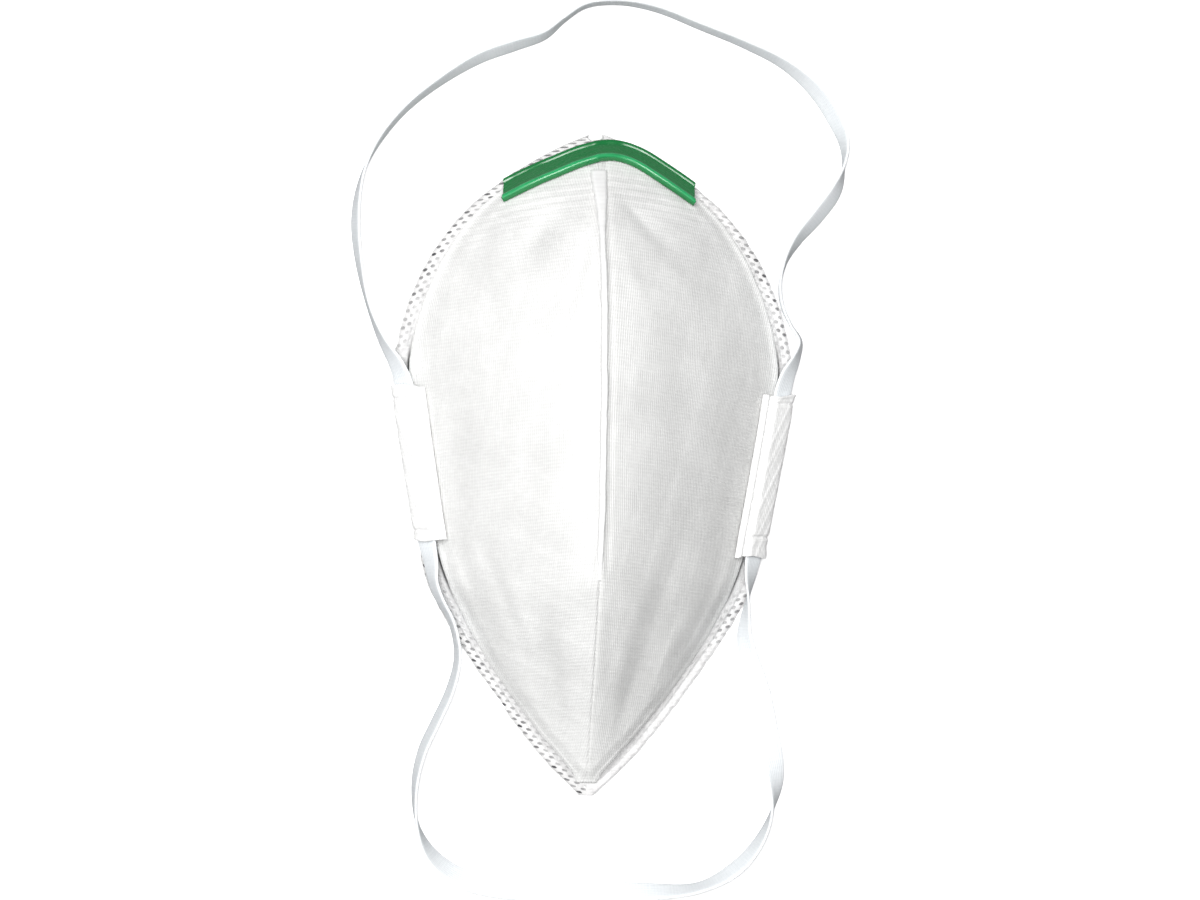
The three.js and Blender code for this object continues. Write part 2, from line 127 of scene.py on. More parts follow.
# The straps' centre lines: x, y, lift of the lower edge, roll in degrees (0 on edge, 90 flat).
UPPER_STRAP = (
    (-50.1, 14.0, 3.23, 49),
    (-51.0, 20.4, 3.22, 50),
    (-52.9, 25.6, 2.9, 38),
    (-57.2, 32.9, 1.8, 16),
    (-60.9, 42.0, 0.3, 6),
    (-63.5, 53.0, 0, 14),
    (-64.7, 63.7, 0, 19),
    (-64.2, 71.8, 0, 13),
    (-62.5, 78.8, 0, 2),
    (-58.4, 86.9, 0, -9),
    (-51.9, 95.0, 0, -12),
    (-42.6, 102.7, 0, -17),
    (-31.9, 109.3, 0, -25),
    (-22.6, 112.8, 0, -25),
    (-14.6, 115.7, 0, -17),
    (-9.6, 119.9, 0, -9),
    (-3.8, 123.8, 0, -8),
    (5.6, 124.9, 0, -8),
    (15.1, 123.4, 0, -10),
    (27.3, 118.9, 0, -12),
    (39.6, 114.2, 0, -15),
    (50.4, 109.0, 0, -22),
    (58.8, 102.1, 0, -34),
    (64.3, 94.2, 0, -36),
    (66.8, 87.5, 0, -18),
    (66.7, 81.8, 0, 3),
    (64.7, 75.2, 0, 32),
    (60.0, 68.4, 0, 36),
    (54.6, 61.8, 0, 25),
    (51.3, 55.7, 0, 10),
    (50.0, 49.6, 0, 3),
    (50.6, 44.0, 0, 1),
    (53.0, 38.7, 0.1, 5),
    (55.6, 34.2, 0.9, 10),
    (54.4, 29.6, 2.3, 24),
    (52.3, 25.0, 3.0, 42),
    (51.0, 20.4, 3.22, 50),
    (50.1, 14.0, 3.23, 49),
)
LOWER_STRAP = (
    (-45.4, -14.0, 3.24, -46),
    (-44.2, -21.4, 3.24, -46),
    (-43.0, -27.2, 2.6, -34),
    (-42.4, -31.8, 1.9, -22),
    (-40.4, -36.9, 1.7, -16),
    (-37.6, -41.9, 1.7, -12),
    (-35.8, -47.8, 1.4, -12),
    (-35.4, -53.2, 0.3, -14),
    (-37.3, -61.4, 0, -18),
    (-41.1, -70.1, 0, -20),
    (-44.5, -77.9, 0, -19),
    (-46.3, -87.2, 0, -12),
    (-45.4, -97.8, 0, 4),
    (-41.2, -106.0, 0, 34),
    (-33.7, -111.6, 0, 56),
    (-22.8, -114.2, 0, 70),
    (-10.6, -114.6, 0, 76),
    (3.0, -114.8, 0, 68),
    (17.0, -114.8, 0, 44),
    (31.0, -113.4, 0, 22),
    (40.6, -108.2, 0, 32),
    (46.8, -100.8, 0, 20),
    (50.2, -92.4, 0, -4),
    (51.0, -83.2, 0, -52),
    (48.8, -72.1, 0, -86),
    (46.1, -60.2, 0, -104),
    (43.2, -51.4, 0, -126),
    (41.9, -45.0, 0.5, -146),
    (42.1, -39.6, 1.6, -164),
    (42.6, -34.8, 2.0, -184),
    (43.0, -29.8, 2.8, -208),
    (43.7, -24.6, 3.24, -225),
    (45.4, -14.0, 3.24, -226),
)


@dataclass(frozen=True)
class Fold:
    """One soft dent (depth over zero) or soft ridge (depth under zero) in the cloth."""

    x: float
    y: float
    depth: float
    across: float
    along: float
    turn: float

    def at(self, x: Array, y: Array) -> Array:
        """Depth of the fold at points.

        Args:
            x: places across the mask.
            y: places along it.

        Returns:
            The depth at each point.
        """
        turn = math.radians(self.turn)
        dx, dy = x - self.x, y - self.y
        across = (dx * math.cos(turn) + dy * math.sin(turn)) / self.across
        along = (dy * math.cos(turn) - dx * math.sin(turn)) / self.along
        return self.depth * np.exp(-(across**2 + along**2))


# Dents that the solids have too.
DENTS = (
    Fold(-7, 50, 1.3, 5, 11, -30),
    Fold(13, 61, 1.1, 4, 9, 35),
    Fold(12, -52, 1.5, 5, 16, -12),
    Fold(-12, -52, 1.4, 5, 16, 12),
    Fold(-30, 52, 0.8, 7, 16, 25),
    Fold(30, 48, 0.7, 7, 16, -25),
)

# Shallower folds of the cover cloth alone.
CREASES = (
    Fold(-25, -34, 0.5, 2.6, 15, 26),
    Fold(-30, -27, -0.4, 2.6, 14, 26),
    Fold(-19, -42, -0.35, 2.2, 14, 22),
    Fold(-33, -41, 0.3, 2.0, 9, 30),
    Fold(18, -32, 0.55, 3.4, 14, -20),
    Fold(24, -44, -0.3, 2.6, 13, -32),
    Fold(9.5, -62, 0.35, 2.2, 12, -10),
    Fold(-8.5, -63, 0.3, 2.0, 12, 10),
    Fold(-5.2, 54, 0.5, 1.7, 12, -14),
    Fold(-3.4, 38, 0.35, 1.8, 15, -4),
    Fold(10, 66, 0.45, 1.6, 6, 40),
    Fold(17, 55, -0.35, 2.6, 9, 38),
    Fold(8, 50, -0.3, 2.2, 10, 20),
    Fold(-16, 62, 0.35, 2.4, 8, -38),
    Fold(-24, 40, -0.3, 4.0, 16, 8),
    Fold(22, 20, 0.25, 4.5, 20, -4),
    Fold(-18, 4, 0.25, 4.0, 18, 5),
)


# ---------------------------------------------------------------- curves


class Curves:
    """Reads a table as smooth curves through its rows."""

    def __init__(self, positions: Sequence[float], values: Sequence) -> None:
        """Takes the rows.

        Args:
            positions: where each row stands, rising.
            values: one number or one row of numbers for each position.
        """
        self.positions = np.asarray(positions, float)
        self.values = np.asarray(values, float).reshape(len(self.positions), -1)
        slopes = np.diff(self.values, axis=0) / np.diff(self.positions)[:, None]
        self.tangents = np.vstack([slopes[:1], (slopes[:-1] + slopes[1:]) / 2, slopes[-1:]])

    def read(self, where: Array) -> Array:
        """The curves' values.

        Args:
            where: positions to read at.

        Returns:
            One row of values for each position.
        """
        where = np.clip(np.atleast_1d(where), self.positions[0], self.positions[-1])
        i = np.clip(np.searchsorted(self.positions, where, "right") - 1, 0, len(self.positions) - 2)
        step = (self.positions[i + 1] - self.positions[i])[:, None]
        p = (where - self.positions[i])[:, None] / step
        start, end = self.values[i], self.values[i + 1]
        leave, arrive = self.tangents[i] * step, self.tangents[i + 1] * step
        return (
            (2 * p**3 - 3 * p**2 + 1) * start
            + (p**3 - 2 * p**2 + p) * leave
            + (3 * p**2 - 2 * p**3) * end
            + (p**3 - p**2) * arrive
        )

    def column(self, where: Array, index: int) -> Array:
        """One column of read()."""
        return self.read(where)[:, index]


def smooth(value: Array, low: float, high: float) -> Array:
    """A soft step from 0 at low to 1 at high."""
    t = np.clip((value - low) / (high - low), 0, 1)
    return t * t * (3 - 2 * t)


def bell(value: Array, centre: float, reach: float) -> Array:
    """A soft bump of height 1 round a centre."""
    return np.exp(-(((value - centre) / reach) ** 2))


def waver(t: Array, pitch: float, seed: int) -> Array:
    """Uneven waves along a line.

    Args:
        t: places along it.
        pitch: the longest wave's length.
        seed: which of the waves' sets.

    Returns:
        A value from about -1 to 1 at each place.
    """
    made = np.random.default_rng(seed)
    total = np.zeros_like(t)
    for octave in range(5):
        total += 0.75**octave * np.sin(2 * np.pi * t * 1.62**octave / pitch + made.uniform(0, 6.3))
    return total / 2.4


# ---------------------------------------------------------------- the mask's shape


class Layer(Enum):
    """A face of the wall, by its distance from the liner's inner face."""

    LINER_IN = 0.0
    LINER_OUT = LINER_WALL
    COVER_IN = LINER_WALL + GAP
    COVER_OUT = LINER_WALL + GAP + COVER_WALL


class MaskShape:
    """The dome, its outline and its layers, as the solids have them."""

    def __init__(self) -> None:
        """Reads the tables."""
        self.sections = Curves([row[0] for row in SECTIONS], [row[1:] for row in SECTIONS])
        self.fall = Curves([row[0] for row in FALL], [row[1] for row in FALL])

    def rim(self, y: Array) -> Array:
        """Half width at the rim."""
        return self.sections.column(y, 0)

    def foot(self, y: Array) -> Array:
        """Half width where the wall meets the flat border."""
        rim = self.rim(y)
        return rim - np.minimum(BORDER, rim / 2)

    def cover_half(self, y: Array) -> Array:
        """Half width of the cover's edge."""
        row = self.sections.read(y)
        return np.maximum(row[:, 0] - row[:, 2], 0.45 * row[:, 0])

    def rise(self, x: Array, y: Array, round_off: Array | float = 0.0) -> Array:
        """Height of the liner's inner face.

        Args:
            x: places across the mask.
            y: places along it.
            round_off: radius that softens the crease at the ridge.

        Returns:
            The height at each point.
        """
        reach = np.abs(x)
        if np.any(round_off):
            reach = reach + round_off * np.exp(-reach / np.maximum(round_off, 1e-6))
        across = np.clip(reach / self.foot(y), 0, 1)
        ridge = self.sections.column(y, 1)
        slack = np.sqrt(np.sin(np.pi * across))
        dents = sum(dent.at(x, y) for dent in DENTS)
        high = ridge * self.fall.column(across, 0) - dents * slack
        return np.where(across >= 1, 0, np.maximum(high, 0))

    def slant(self, x: Array, y: Array) -> Array:
        """How much longer a wall measures upwards than square to its slope."""
        step = 0.5
        along_x = (self.rise(x + step, y) - self.rise(x - step, y)) / (2 * step)
        along_y = (self.rise(x, y + step) - self.rise(x, y - step)) / (2 * step)
        return np.minimum(np.sqrt(1 + along_x**2 + along_y**2), 2)

    def height(self, x: Array, y: Array, layer: Array | float, round_off: Array | float = 0.0) -> Array:
        """Height of a face that lies a distance above the liner's inner face.

        Args:
            x: places across the mask.
            y: places along it.
            layer: distance from the liner's inner face, square to it.
            round_off: radius that softens the crease at the ridge.

        Returns:
            The height at each point.
        """
        return self.rise(x, y, round_off) + layer * self.slant(x, y)


SHAPE = MaskShape()


# ---------------------------------------------------------------- mesh building


class Build(Enum):
    """How a laid grid becomes a piece."""

    SHEET = "two faces and an edge all round"
    TUBE = "closed round, with a wall, open at both ends"
    SOLID = "closed round and capped at both ends"


@dataclass
class Weave:
    """A grid that is laid on one or two faces to make a closed piece."""

    name: str
    across: int
    along: int
    kind: Build = Build.SHEET

    def build(self, outer: Face, inner: Face | None, marks: dict[str, Face]) -> bpy.types.Object:
        """Makes the piece.

        Args:
            outer: gives the outer face's points from shares across and along.
            inner: gives the inner face's points, or None for a solid.
            marks: gives named vectors for the finish, from the same shares.

        Returns:
            The new object, at the origin.
        """
        bm = bmesh.new()
        u_key = bm.verts.layers.float.new("u")
        v_key = bm.verts.layers.float.new("v")
        top_key = bm.verts.layers.float.new("top")
        bmesh.ops.create_grid(bm, x_segments=self.across, y_segments=self.along, size=0.5)
        for vert in bm.verts:
            vert[u_key], vert[v_key] = vert.co.x + 0.5, vert.co.y + 0.5
        if self.kind is not Build.SHEET:
            shares = np.array([(vert[u_key], vert[v_key]) for vert in bm.verts])
            for vert, place in zip(bm.verts, outer(shares[:, 0], shares[:, 1])):
                vert.co = place * MM
            bmesh.ops.remove_doubles(bm, verts=bm.verts, dist=1e-7)
        if self.kind is Build.SOLID:
            open_edges = [edge for edge in bm.edges if edge.is_boundary]
            bmesh.ops.holes_fill(bm, edges=open_edges, sides=0)
        else:
            grown = bmesh.ops.extrude_face_region(bm, geom=bm.faces[:])
            for part in grown["geom"]:
                if isinstance(part, bmesh.types.BMVert):
                    part[top_key] = 1.0
        mesh = bpy.data.meshes.new(self.name)
        bm.to_mesh(mesh)
        bm.free()
        shares = {key: self._read(mesh, key) for key in ("u", "v", "top")}
        u, v = shares["u"], shares["v"]
        places = outer(u, v)
        if inner is not None:
            places = np.where(shares["top"][:, None] > 0.5, places, inner(u, v))
        mesh.vertices.foreach_set("co", (places * MM).astype(np.float32).ravel())
        for key in shares:
            mesh.attributes.remove(mesh.attributes[key])
        for key, mark in marks.items():
            layer = mesh.attributes.new(key, "FLOAT_VECTOR", "POINT")
            layer.data.foreach_set("vector", mark(u, v).astype(np.float32).ravel())
        face_outwards(mesh)
        return new_piece(self.name, mesh)

    @staticmethod
    def _read(mesh: bpy.types.Mesh, key: str) -> Array:
        """One number for each vertex, from a named layer."""
        found = np.zeros(len(mesh.vertices), np.float32)
        mesh.attributes[key].data.foreach_get("value", found)
        return found.astype(float)


def face_outwards(mesh: bpy.types.Mesh) -> None:
    """Turns a closed mesh's faces round if it is inside out."""
    bm = bmesh.new()
    bm.from_mesh(mesh)
    if bm.calc_volume(signed=True) < 0:
        bmesh.ops.reverse_faces(bm, faces=bm.faces)
    for part in bm.faces:
        part.smooth = True
    bm.to_mesh(mesh)
    bm.free()


def new_piece(name: str, mesh: bpy.types.Mesh) -> bpy.types.Object:
    """Puts a mesh into the scene as a piece on the mask's one body.

    Args:
        name: the piece's name.
        mesh: its mesh, in metres in the mask's frame.

    Returns:
        The object.
    """
    piece = bpy.data.objects.new(name, mesh)
    bpy.context.scene.collection.objects.link(piece)
    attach(piece, "root")
    return piece


def points(x: Array, y: Array, z: Array) -> Array:
    """Columns as one array of points."""
    return np.stack(np.broadcast_arrays(x, y, z), axis=1)


# ---------------------------------------------------------------- shader groups and graphs


class Graph:
    """A node tree that is being made."""

    def __init__(self, tree: bpy.types.NodeTree) -> None:
        """Takes the tree."""
        self.tree = tree

    def add(self, kind: str, **settings: object) -> bpy.types.Node:
        """A new node with its settings."""
        node = self.tree.nodes.new(kind)
        for name, value in settings.items():
            setattr(node, name, value)
        return node

    def feed(self, socket: bpy.types.NodeSocket, source: Source) -> None:
        """Links a socket, or sets it."""
        if isinstance(source, bpy.types.NodeSocket):
            self.tree.links.new(source, socket)
        else:
            socket.default_value = source

    def math(self, operation: str, *terms: Source) -> bpy.types.NodeSocket:
        """The result of one sum.

        Args:
            operation: the Math node's operation.
            terms: its inputs.

        Returns:
            The node's output.
        """
        node = self.add("ShaderNodeMath", operation=operation)
        for socket, term in zip(node.inputs, terms):
            self.feed(socket, term)
        return node.outputs[0]

    def noise(self, place: Source, scale: Source, detail: float = 2.0) -> bpy.types.NodeSocket:
        """A noise value round 0.5."""
        node = self.add("ShaderNodeTexNoise")
        self.feed(node.inputs["Vector"], place)
        self.feed(node.inputs["Scale"], scale)
        node.inputs["Detail"].default_value = detail
        return node.outputs["Fac"]

    def remap(
        self, value: Source, low: Source, high: Source, to_low: float = 0.0, to_high: float = 1.0
    ) -> bpy.types.NodeSocket:
        """A soft remap of a value.

        Args:
            value: what is remapped.
            low: where it starts to change.
            high: where it stops.
            to_low: the result at low.
            to_high: the result at high.

        Returns:
            The node's output.
        """
        node = self.add("ShaderNodeMapRange", interpolation_type="SMOOTHSTEP")
        for name, source in (("Value", value), ("From Min", low), ("From Max", high)):
            self.feed(node.inputs[name], source)
        node.inputs["To Min"].default_value = to_low
        node.inputs["To Max"].default_value = to_high
        return node.outputs["Result"]

    def mix(self, factor: Source, first: Source, second: Source) -> bpy.types.NodeSocket:
        """A colour between two colours."""
        node = self.add("ShaderNodeMix", data_type="RGBA")
        self.feed(node.inputs["Factor"], factor)
        self.feed(node.inputs[6], first)
        self.feed(node.inputs[7], second)
        return node.outputs[2]

    def stretched(self, place: Source, scale: tuple[float, float, float]) -> bpy.types.NodeSocket:
        """A place scaled along each axis."""
        node = self.add("ShaderNodeMapping")
        self.feed(node.inputs["Vector"], place)
        node.inputs["Scale"].default_value = scale
        return node.outputs["Vector"]

    def mark(self, name: str) -> bpy.types.NodeSocket:
        """The vector that a piece carries under a name."""
        return self.add("ShaderNodeAttribute", attribute_name=name).outputs["Vector"]

    def split(self, vector: Source) -> tuple[bpy.types.NodeSocket, ...]:
        """A vector's three parts."""
        node = self.add("ShaderNodeSeparateXYZ")
        self.feed(node.inputs[0], vector)
        return tuple(node.outputs)

    def use(self, group: bpy.types.NodeTree, **inputs: Source) -> dict[str, bpy.types.NodeSocket]:
        """Places a group.

        Args:
            group: the shared group.
            inputs: its inputs, with an underscore for each space in a name.

        Returns:
            Its outputs by name.
        """
        node = self.add("ShaderNodeGroup", node_tree=group)
        for name, source in inputs.items():
            self.feed(node.inputs[name.replace("_", " ")], source)
        return {socket.name: socket for socket in node.outputs}


@dataclass
class SharedGroups:
    """The shader groups that several finishes use, each made once."""

    made: dict[str, bpy.types.NodeTree] = field(default_factory=dict)

    def _open(self, name: str, inputs: dict[str, tuple[str, Source]], outputs: Sequence[str]) -> tuple:
        """Starts a group.

        Args:
            name: the group's name.
            inputs: socket type and value of each named input.
            outputs: names of its outputs, each a number.

        Returns:
            The graph, its input sockets by name, and its output node.
        """
        tree = bpy.data.node_groups.new(name, "ShaderNodeTree")
        for key, (kind, value) in inputs.items():
            socket = tree.interface.new_socket(name=key, in_out="INPUT", socket_type=kind)
            if kind == "NodeSocketFloat":
                socket.default_value = value
        for key in outputs:
            tree.interface.new_socket(name=key, in_out="OUTPUT", socket_type="NodeSocketFloat")
        graph = Graph(tree)
        start, end = graph.add("NodeGroupInput"), graph.add("NodeGroupOutput")
        self.made[name] = tree
        return graph, {socket.name: socket for socket in start.outputs}, end

    def rib_grain(self) -> bpy.types.NodeTree:
        """Fine ribs both ways, as the pressed grain of spun cloth or the knit of elastic has them."""
        if "rib_grain" in self.made:
            return self.made["rib_grain"]
        number = "NodeSocketFloat"
        graph, given, end = self._open(
            "rib_grain",
            {
                "Place": ("NodeSocketVector", None),
                "Rib Pitch": (number, 0.00075),
                "Cross Pitch": (number, 0.001),
                "Cross Share": (number, 0.5),
                "Waver": (number, 0.0003),
            },
            ["Height"],
        )
        drift = graph.math("SUBTRACT", graph.noise(given["Place"], 160.0, 3.0), 0.5)
        drift = graph.math("MULTIPLY", drift, given["Waver"])
        x, y, _ = graph.split(given["Place"])
        ribs = []
        for part, pitch in ((x, given["Rib Pitch"]), (y, given["Cross Pitch"])):
            turn = graph.math("DIVIDE", graph.math("ADD", part, drift), pitch)
            wave = graph.math("SINE", graph.math("MULTIPLY", turn, 2 * math.pi))
            ribs.append(graph.math("MULTIPLY_ADD", wave, 0.5, 0.5))
        total = graph.math("MULTIPLY_ADD", ribs[1], given["Cross Share"], ribs[0])
        height = graph.math("DIVIDE", total, graph.math("ADD", given["Cross Share"], 1.0))
        graph.feed(end.inputs["Height"], height)
        return self.made["rib_grain"]

    def fibre_felt(self) -> bpy.types.NodeTree:
        """Short crossing fibres and soft clouds, as unwoven cloth has them."""
        if "fibre_felt" in self.made:
            return self.made["fibre_felt"]
        number = "NodeSocketFloat"
        graph, given, end = self._open(
            "fibre_felt",
            {"Place": ("NodeSocketVector", None), "Fineness": (number, 900.0), "Clouds": (number, 60.0)},
            ["Fibre", "Cloud"],
        )
        one = graph.noise(graph.stretched(given["Place"], (1.0, 0.22, 1.0)), given["Fineness"], 4.0)
        two = graph.noise(graph.stretched(given["Place"], (0.25, 1.0, 1.0)), given["Fineness"], 4.0)
        fibre = graph.remap(graph.math("MAXIMUM", one, two), 0.38, 0.74)
        graph.feed(end.inputs["Fibre"], fibre)
        cloud = graph.noise(given["Place"], given["Clouds"], 3.0)
        graph.feed(end.inputs["Cloud"], graph.remap(cloud, 0.3, 0.7))
        return self.made["fibre_felt"]

    def weld_dots(self) -> bpy.types.NodeTree:
        """Staggered rows of small pressed dots that follow an edge."""
        if "weld_dots" in self.made:
            return self.made["weld_dots"]
        number = "NodeSocketFloat"
        graph, given, end = self._open(
            "weld_dots",
            {
                "Place": ("NodeSocketVector", None),
                "Pitch": (number, 0.0024),
                "Radius": (number, 0.00034),
            },
            ["Dots"],
        )
        inward, along, _ = graph.split(given["Place"])
        row_pitch = graph.math("MULTIPLY", given["Pitch"], 0.55)
        row = graph.math("DIVIDE", inward, row_pitch)
        number_of_row = graph.math("FLOOR", row)
        off_row = graph.math("SUBTRACT", graph.math("FRACT", row), 0.5)
        shift = graph.math("MULTIPLY", graph.math("MODULO", number_of_row, 2.0), 0.5)
        cell = graph.math("ADD", graph.math("DIVIDE", along, given["Pitch"]), shift)
        off_cell = graph.math("SUBTRACT", graph.math("FRACT", cell), 0.5)
        dx = graph.math("MULTIPLY", off_row, row_pitch)
        dy = graph.math("MULTIPLY", off_cell, given["Pitch"])
        squares = (graph.math("POWER", part, 2.0) for part in (dx, dy))
        away = graph.math("SQRT", graph.math("ADD", *squares))
        ragged = graph.math("MULTIPLY_ADD", graph.noise(given["Place"], 2200.0, 1.0), 0.00034, -0.00017)
        away = graph.math("ADD", away, ragged)
        seed = graph.add("ShaderNodeTexWhiteNoise", noise_dimensions="2D")
        join = graph.add("ShaderNodeCombineXYZ")
        graph.feed(join.inputs[0], number_of_row)
        graph.feed(join.inputs[1], graph.math("FLOOR", cell))
        graph.feed(seed.inputs["Vector"], join.outputs[0])
        strength = graph.math("MULTIPLY_ADD", seed.outputs["Value"], 0.55, 0.45)
        inside = graph.remap(away, given["Radius"], graph.math("MULTIPLY", given["Radius"], 1.7), 1.0, 0.0)
        graph.feed(end.inputs["Dots"], graph.math("MULTIPLY", inside, strength))
        return self.made["weld_dots"]


GROUPS = SharedGroups()


# ---------------------------------------------------------------- finishes


def start_material(name: str) -> tuple[bpy.types.Material, Graph, bpy.types.Node]:
    """A new material.

    Args:
        name: its name.

    Returns:
        The material, its graph and its Principled shader.
    """
    material = bpy.data.materials.new(name)
    material.use_nodes = True
    return material, Graph(material.node_tree), material.node_tree.nodes["Principled BSDF"]


def raise_bump(graph: Graph, shader: bpy.types.Node, height: Source, depth: float, strength: float = 1.0) -> None:
    """Lets a height shape the light on a surface.

    Args:
        graph: the material's graph.
        shader: its shader.
        height: from 0 to 1.
        depth: how deep that is, in metres.
        strength: how much of it shows.
    """
    bump = graph.add("ShaderNodeBump")
    bump.inputs["Strength"].default_value = strength
    bump.inputs["Distance"].default_value = depth
    graph.feed(bump.inputs["Height"], height)
    graph.feed(shader.inputs["Normal"], bump.outputs["Normal"])


@dataclass(frozen=True)
class CoverFinish:
    """Matt white spun cloth with a fine ribbed grain."""

    name: str
    light: tuple[float, float, float, float]
    shade: tuple[float, float, float, float]
    rib_pitch: float = 0.00078
    cross_pitch: float = 0.00105
    cross_share: float = 0.55
    depth: float = 0.00009

    def material(self) -> bpy.types.Material:
        """The finish as a material, which reads the piece's "grain" mark."""
        material, graph, shader = start_material(self.name)
        place = graph.mark("grain")
        rib = graph.use(
            GROUPS.rib_grain(),
            Place=place,
            Rib_Pitch=self.rib_pitch,
            Cross_Pitch=self.cross_pitch,
            Cross_Share=self.cross_share,
        )["Height"]
        felt = graph.use(GROUPS.fibre_felt(), Place=place, Fineness=1100.0, Clouds=70.0)
        patch = graph.math("MULTIPLY", felt["Cloud"], 0.3)
        fibre = graph.math("MULTIPLY_ADD", felt["Fibre"], 0.25, patch)
        tone = graph.math("MULTIPLY_ADD", rib, 0.45, fibre)
        graph.feed(shader.inputs["Base Color"], graph.mix(tone, self.shade, self.light))
        graph.feed(shader.inputs["Roughness"], graph.remap(felt["Fibre"], 0.0, 1.0, 0.86, 0.98))
        shader.inputs["Sheen Weight"].default_value = 0.12
        shader.inputs["Sheen Roughness"].default_value = 0.5
        shader.inputs["Specular IOR Level"].default_value = 0.25
        raise_bump(graph, shader, graph.math("MULTIPLY_ADD", felt["Fibre"], 0.35, rib), self.depth)
        return material


@dataclass(frozen=True)
class LinerFinish:
    """Pressed fleece: flecked grey-white, with small grey dots along its margin."""

    name: str
    light: tuple[float, float, float, float]
    shade: tuple[float, float, float, float]
    dot: tuple[float, float, float, float]

    def material(self) -> bpy.types.Material:
        """The finish as a material, which reads the piece's "grain" and "rim" marks, and its mark of painted
        shade in the slits beside the cover's edge.
        """
        material, graph, shader = start_material(self.name)
        place, rim = graph.mark("grain"), graph.mark("rim")
        inward, _, strength = graph.split(rim)
        felt = graph.use(GROUPS.fibre_felt(), Place=place, Fineness=1500.0, Clouds=240.0)
        dots = graph.use(GROUPS.weld_dots(), Place=rim)["Dots"]
        outer = graph.remap(inward, 0.0006, 0.0046, 1.0, 0.08)
        dots = graph.math("MULTIPLY", graph.math("MULTIPLY", dots, outer), strength)
        tone = graph.math("MULTIPLY_ADD", felt["Cloud"], 0.45, graph.math("MULTIPLY", felt["Fibre"], 0.55))
        ground = graph.mix(tone, self.shade, self.light)
        # Darker in flecks along the outer 2.2 mm of the margin, where the dots show.
        darker_at_rim = graph.math("MULTIPLY", graph.remap(inward, 0.0, 0.0022, 0.4, 0.0), strength)
        darker_at_rim = graph.math("MULTIPLY", darker_at_rim, felt["Fibre"])
        ground = graph.mix(darker_at_rim, ground, (0.24, 0.235, 0.24, 1.0))
        # Painted shade: the fleece is darkened almost to black in the slits where the cover's edge stands off it,
        # standing in for the shadow there.
        depth, _, _ = graph.split(graph.mark("painted_slit_shade"))
        ground = graph.mix(depth, ground, (0.06, 0.06, 0.062, 1.0))
        graph.feed(shader.inputs["Base Color"], graph.mix(dots, ground, self.dot))
        graph.feed(shader.inputs["Roughness"], graph.remap(dots, 0.0, 1.0, 0.95, 0.6))
        shader.inputs["Specular IOR Level"].default_value = 0.25
        height = graph.math("SUBTRACT", graph.math("MULTIPLY", felt["Fibre"], 0.35), dots)
        raise_bump(graph, shader, height, 0.00022)
        return material


@dataclass(frozen=True)
class ElasticFinish:
    """Smooth white knitted elastic with fine lengthwise ribs."""

    name: str
    light: tuple[float, float, float, float]
    shade: tuple[float, float, float, float]

    def material(self) -> bpy.types.Material:
        """The finish as a material, which reads the piece's "grain" mark."""
        material, graph, shader = start_material(self.name)
        place = graph.mark("grain")
        rib = graph.use(
            GROUPS.rib_grain(),
            Place=place,
            Rib_Pitch=0.00062,
            Cross_Pitch=0.00085,
            Cross_Share=0.35,
            Waver=0.00008,
        )["Height"]
        felt = graph.use(GROUPS.fibre_felt(), Place=place, Fineness=1600.0, Clouds=45.0)
        across, _, _ = graph.split(place)
        # Painted highlight: the band's colour is made lighter near both edges, standing in for light falling on
        # its upturned edge.
        edge = graph.remap(graph.math("ABSOLUTE", across), 0.0021, 0.0027)
        tone = graph.math("MULTIPLY_ADD", rib, 0.35, graph.math("MULTIPLY", felt["Fibre"], 0.2))
        tone = graph.math("MULTIPLY_ADD", felt["Cloud"], 0.15, tone)
        tone = graph.math("MULTIPLY_ADD", edge, 0.4, tone)
        graph.feed(shader.inputs["Base Color"], graph.mix(tone, self.shade, self.light))
        graph.feed(shader.inputs["Roughness"], graph.remap(rib, 0.0, 1.0, 0.78, 0.6))
        shader.inputs["Specular IOR Level"].default_value = 0.3
        raise_bump(graph, shader, rib, 0.00006)
        return material


@dataclass(frozen=True)
class PlasticFinish:
    """Glossy moulded plastic, paler along its ribs."""

    name: str
    channel: tuple[float, float, float, float]
    rib: tuple[float, float, float, float]

    def material(self) -> bpy.types.Material:
        """The finish as a material, which reads the piece's "grain" mark (z is the rib's share)."""
        material, graph, shader = start_material(self.name)
        place = graph.mark("grain")
        _, _, raised = graph.split(place)
        scuff = graph.noise(graph.stretched(place, (1.0, 0.12, 1.0)), 2600.0, 4.0)
        cloud = graph.noise(place, 220.0, 2.0)
        colour = graph.mix(graph.remap(raised, 0.0, 1.0), self.channel, self.rib)
        deep = tuple(0.82 * part for part in self.channel[:3]) + (1.0,)
        worn = graph.math("MULTIPLY", graph.remap(cloud, 0.35, 0.7), 0.35)
        graph.feed(shader.inputs["Base Color"], graph.mix(worn, colour, deep))
        graph.feed(shader.inputs["Roughness"], graph.remap(scuff, 0.35, 0.8, 0.24, 0.42))
        shader.inputs["Coat Weight"].default_value = 0.25
        shader.inputs["Coat Roughness"].default_value = 0.15
        raise_bump(graph, shader, scuff, 0.00002)
        return material


@dataclass(frozen=True)
class WireFinish:
    """The cut end of a steel wire, dulled and a little brown."""

    name: str

    def material(self) -> bpy.types.Material:
        """The finish as a material."""
        material, graph, shader = start_material(self.name)
        place = graph.add("ShaderNodeTexCoord").outputs["Object"]
        rust = graph.remap(graph.noise(place, 3000.0, 3.0), 0.4, 0.65)
        steel, brown = (0.16, 0.15, 0.14, 1.0), (0.09, 0.045, 0.025, 1.0)
        graph.feed(shader.inputs["Base Color"], graph.mix(rust, steel, brown))
        graph.feed(shader.inputs["Roughness"], graph.remap(rust, 0.0, 1.0, 0.35, 0.7))
        shader.inputs["Metallic"].default_value = 0.8
        raise_bump(graph, shader, rust, 0.00003)
        return material


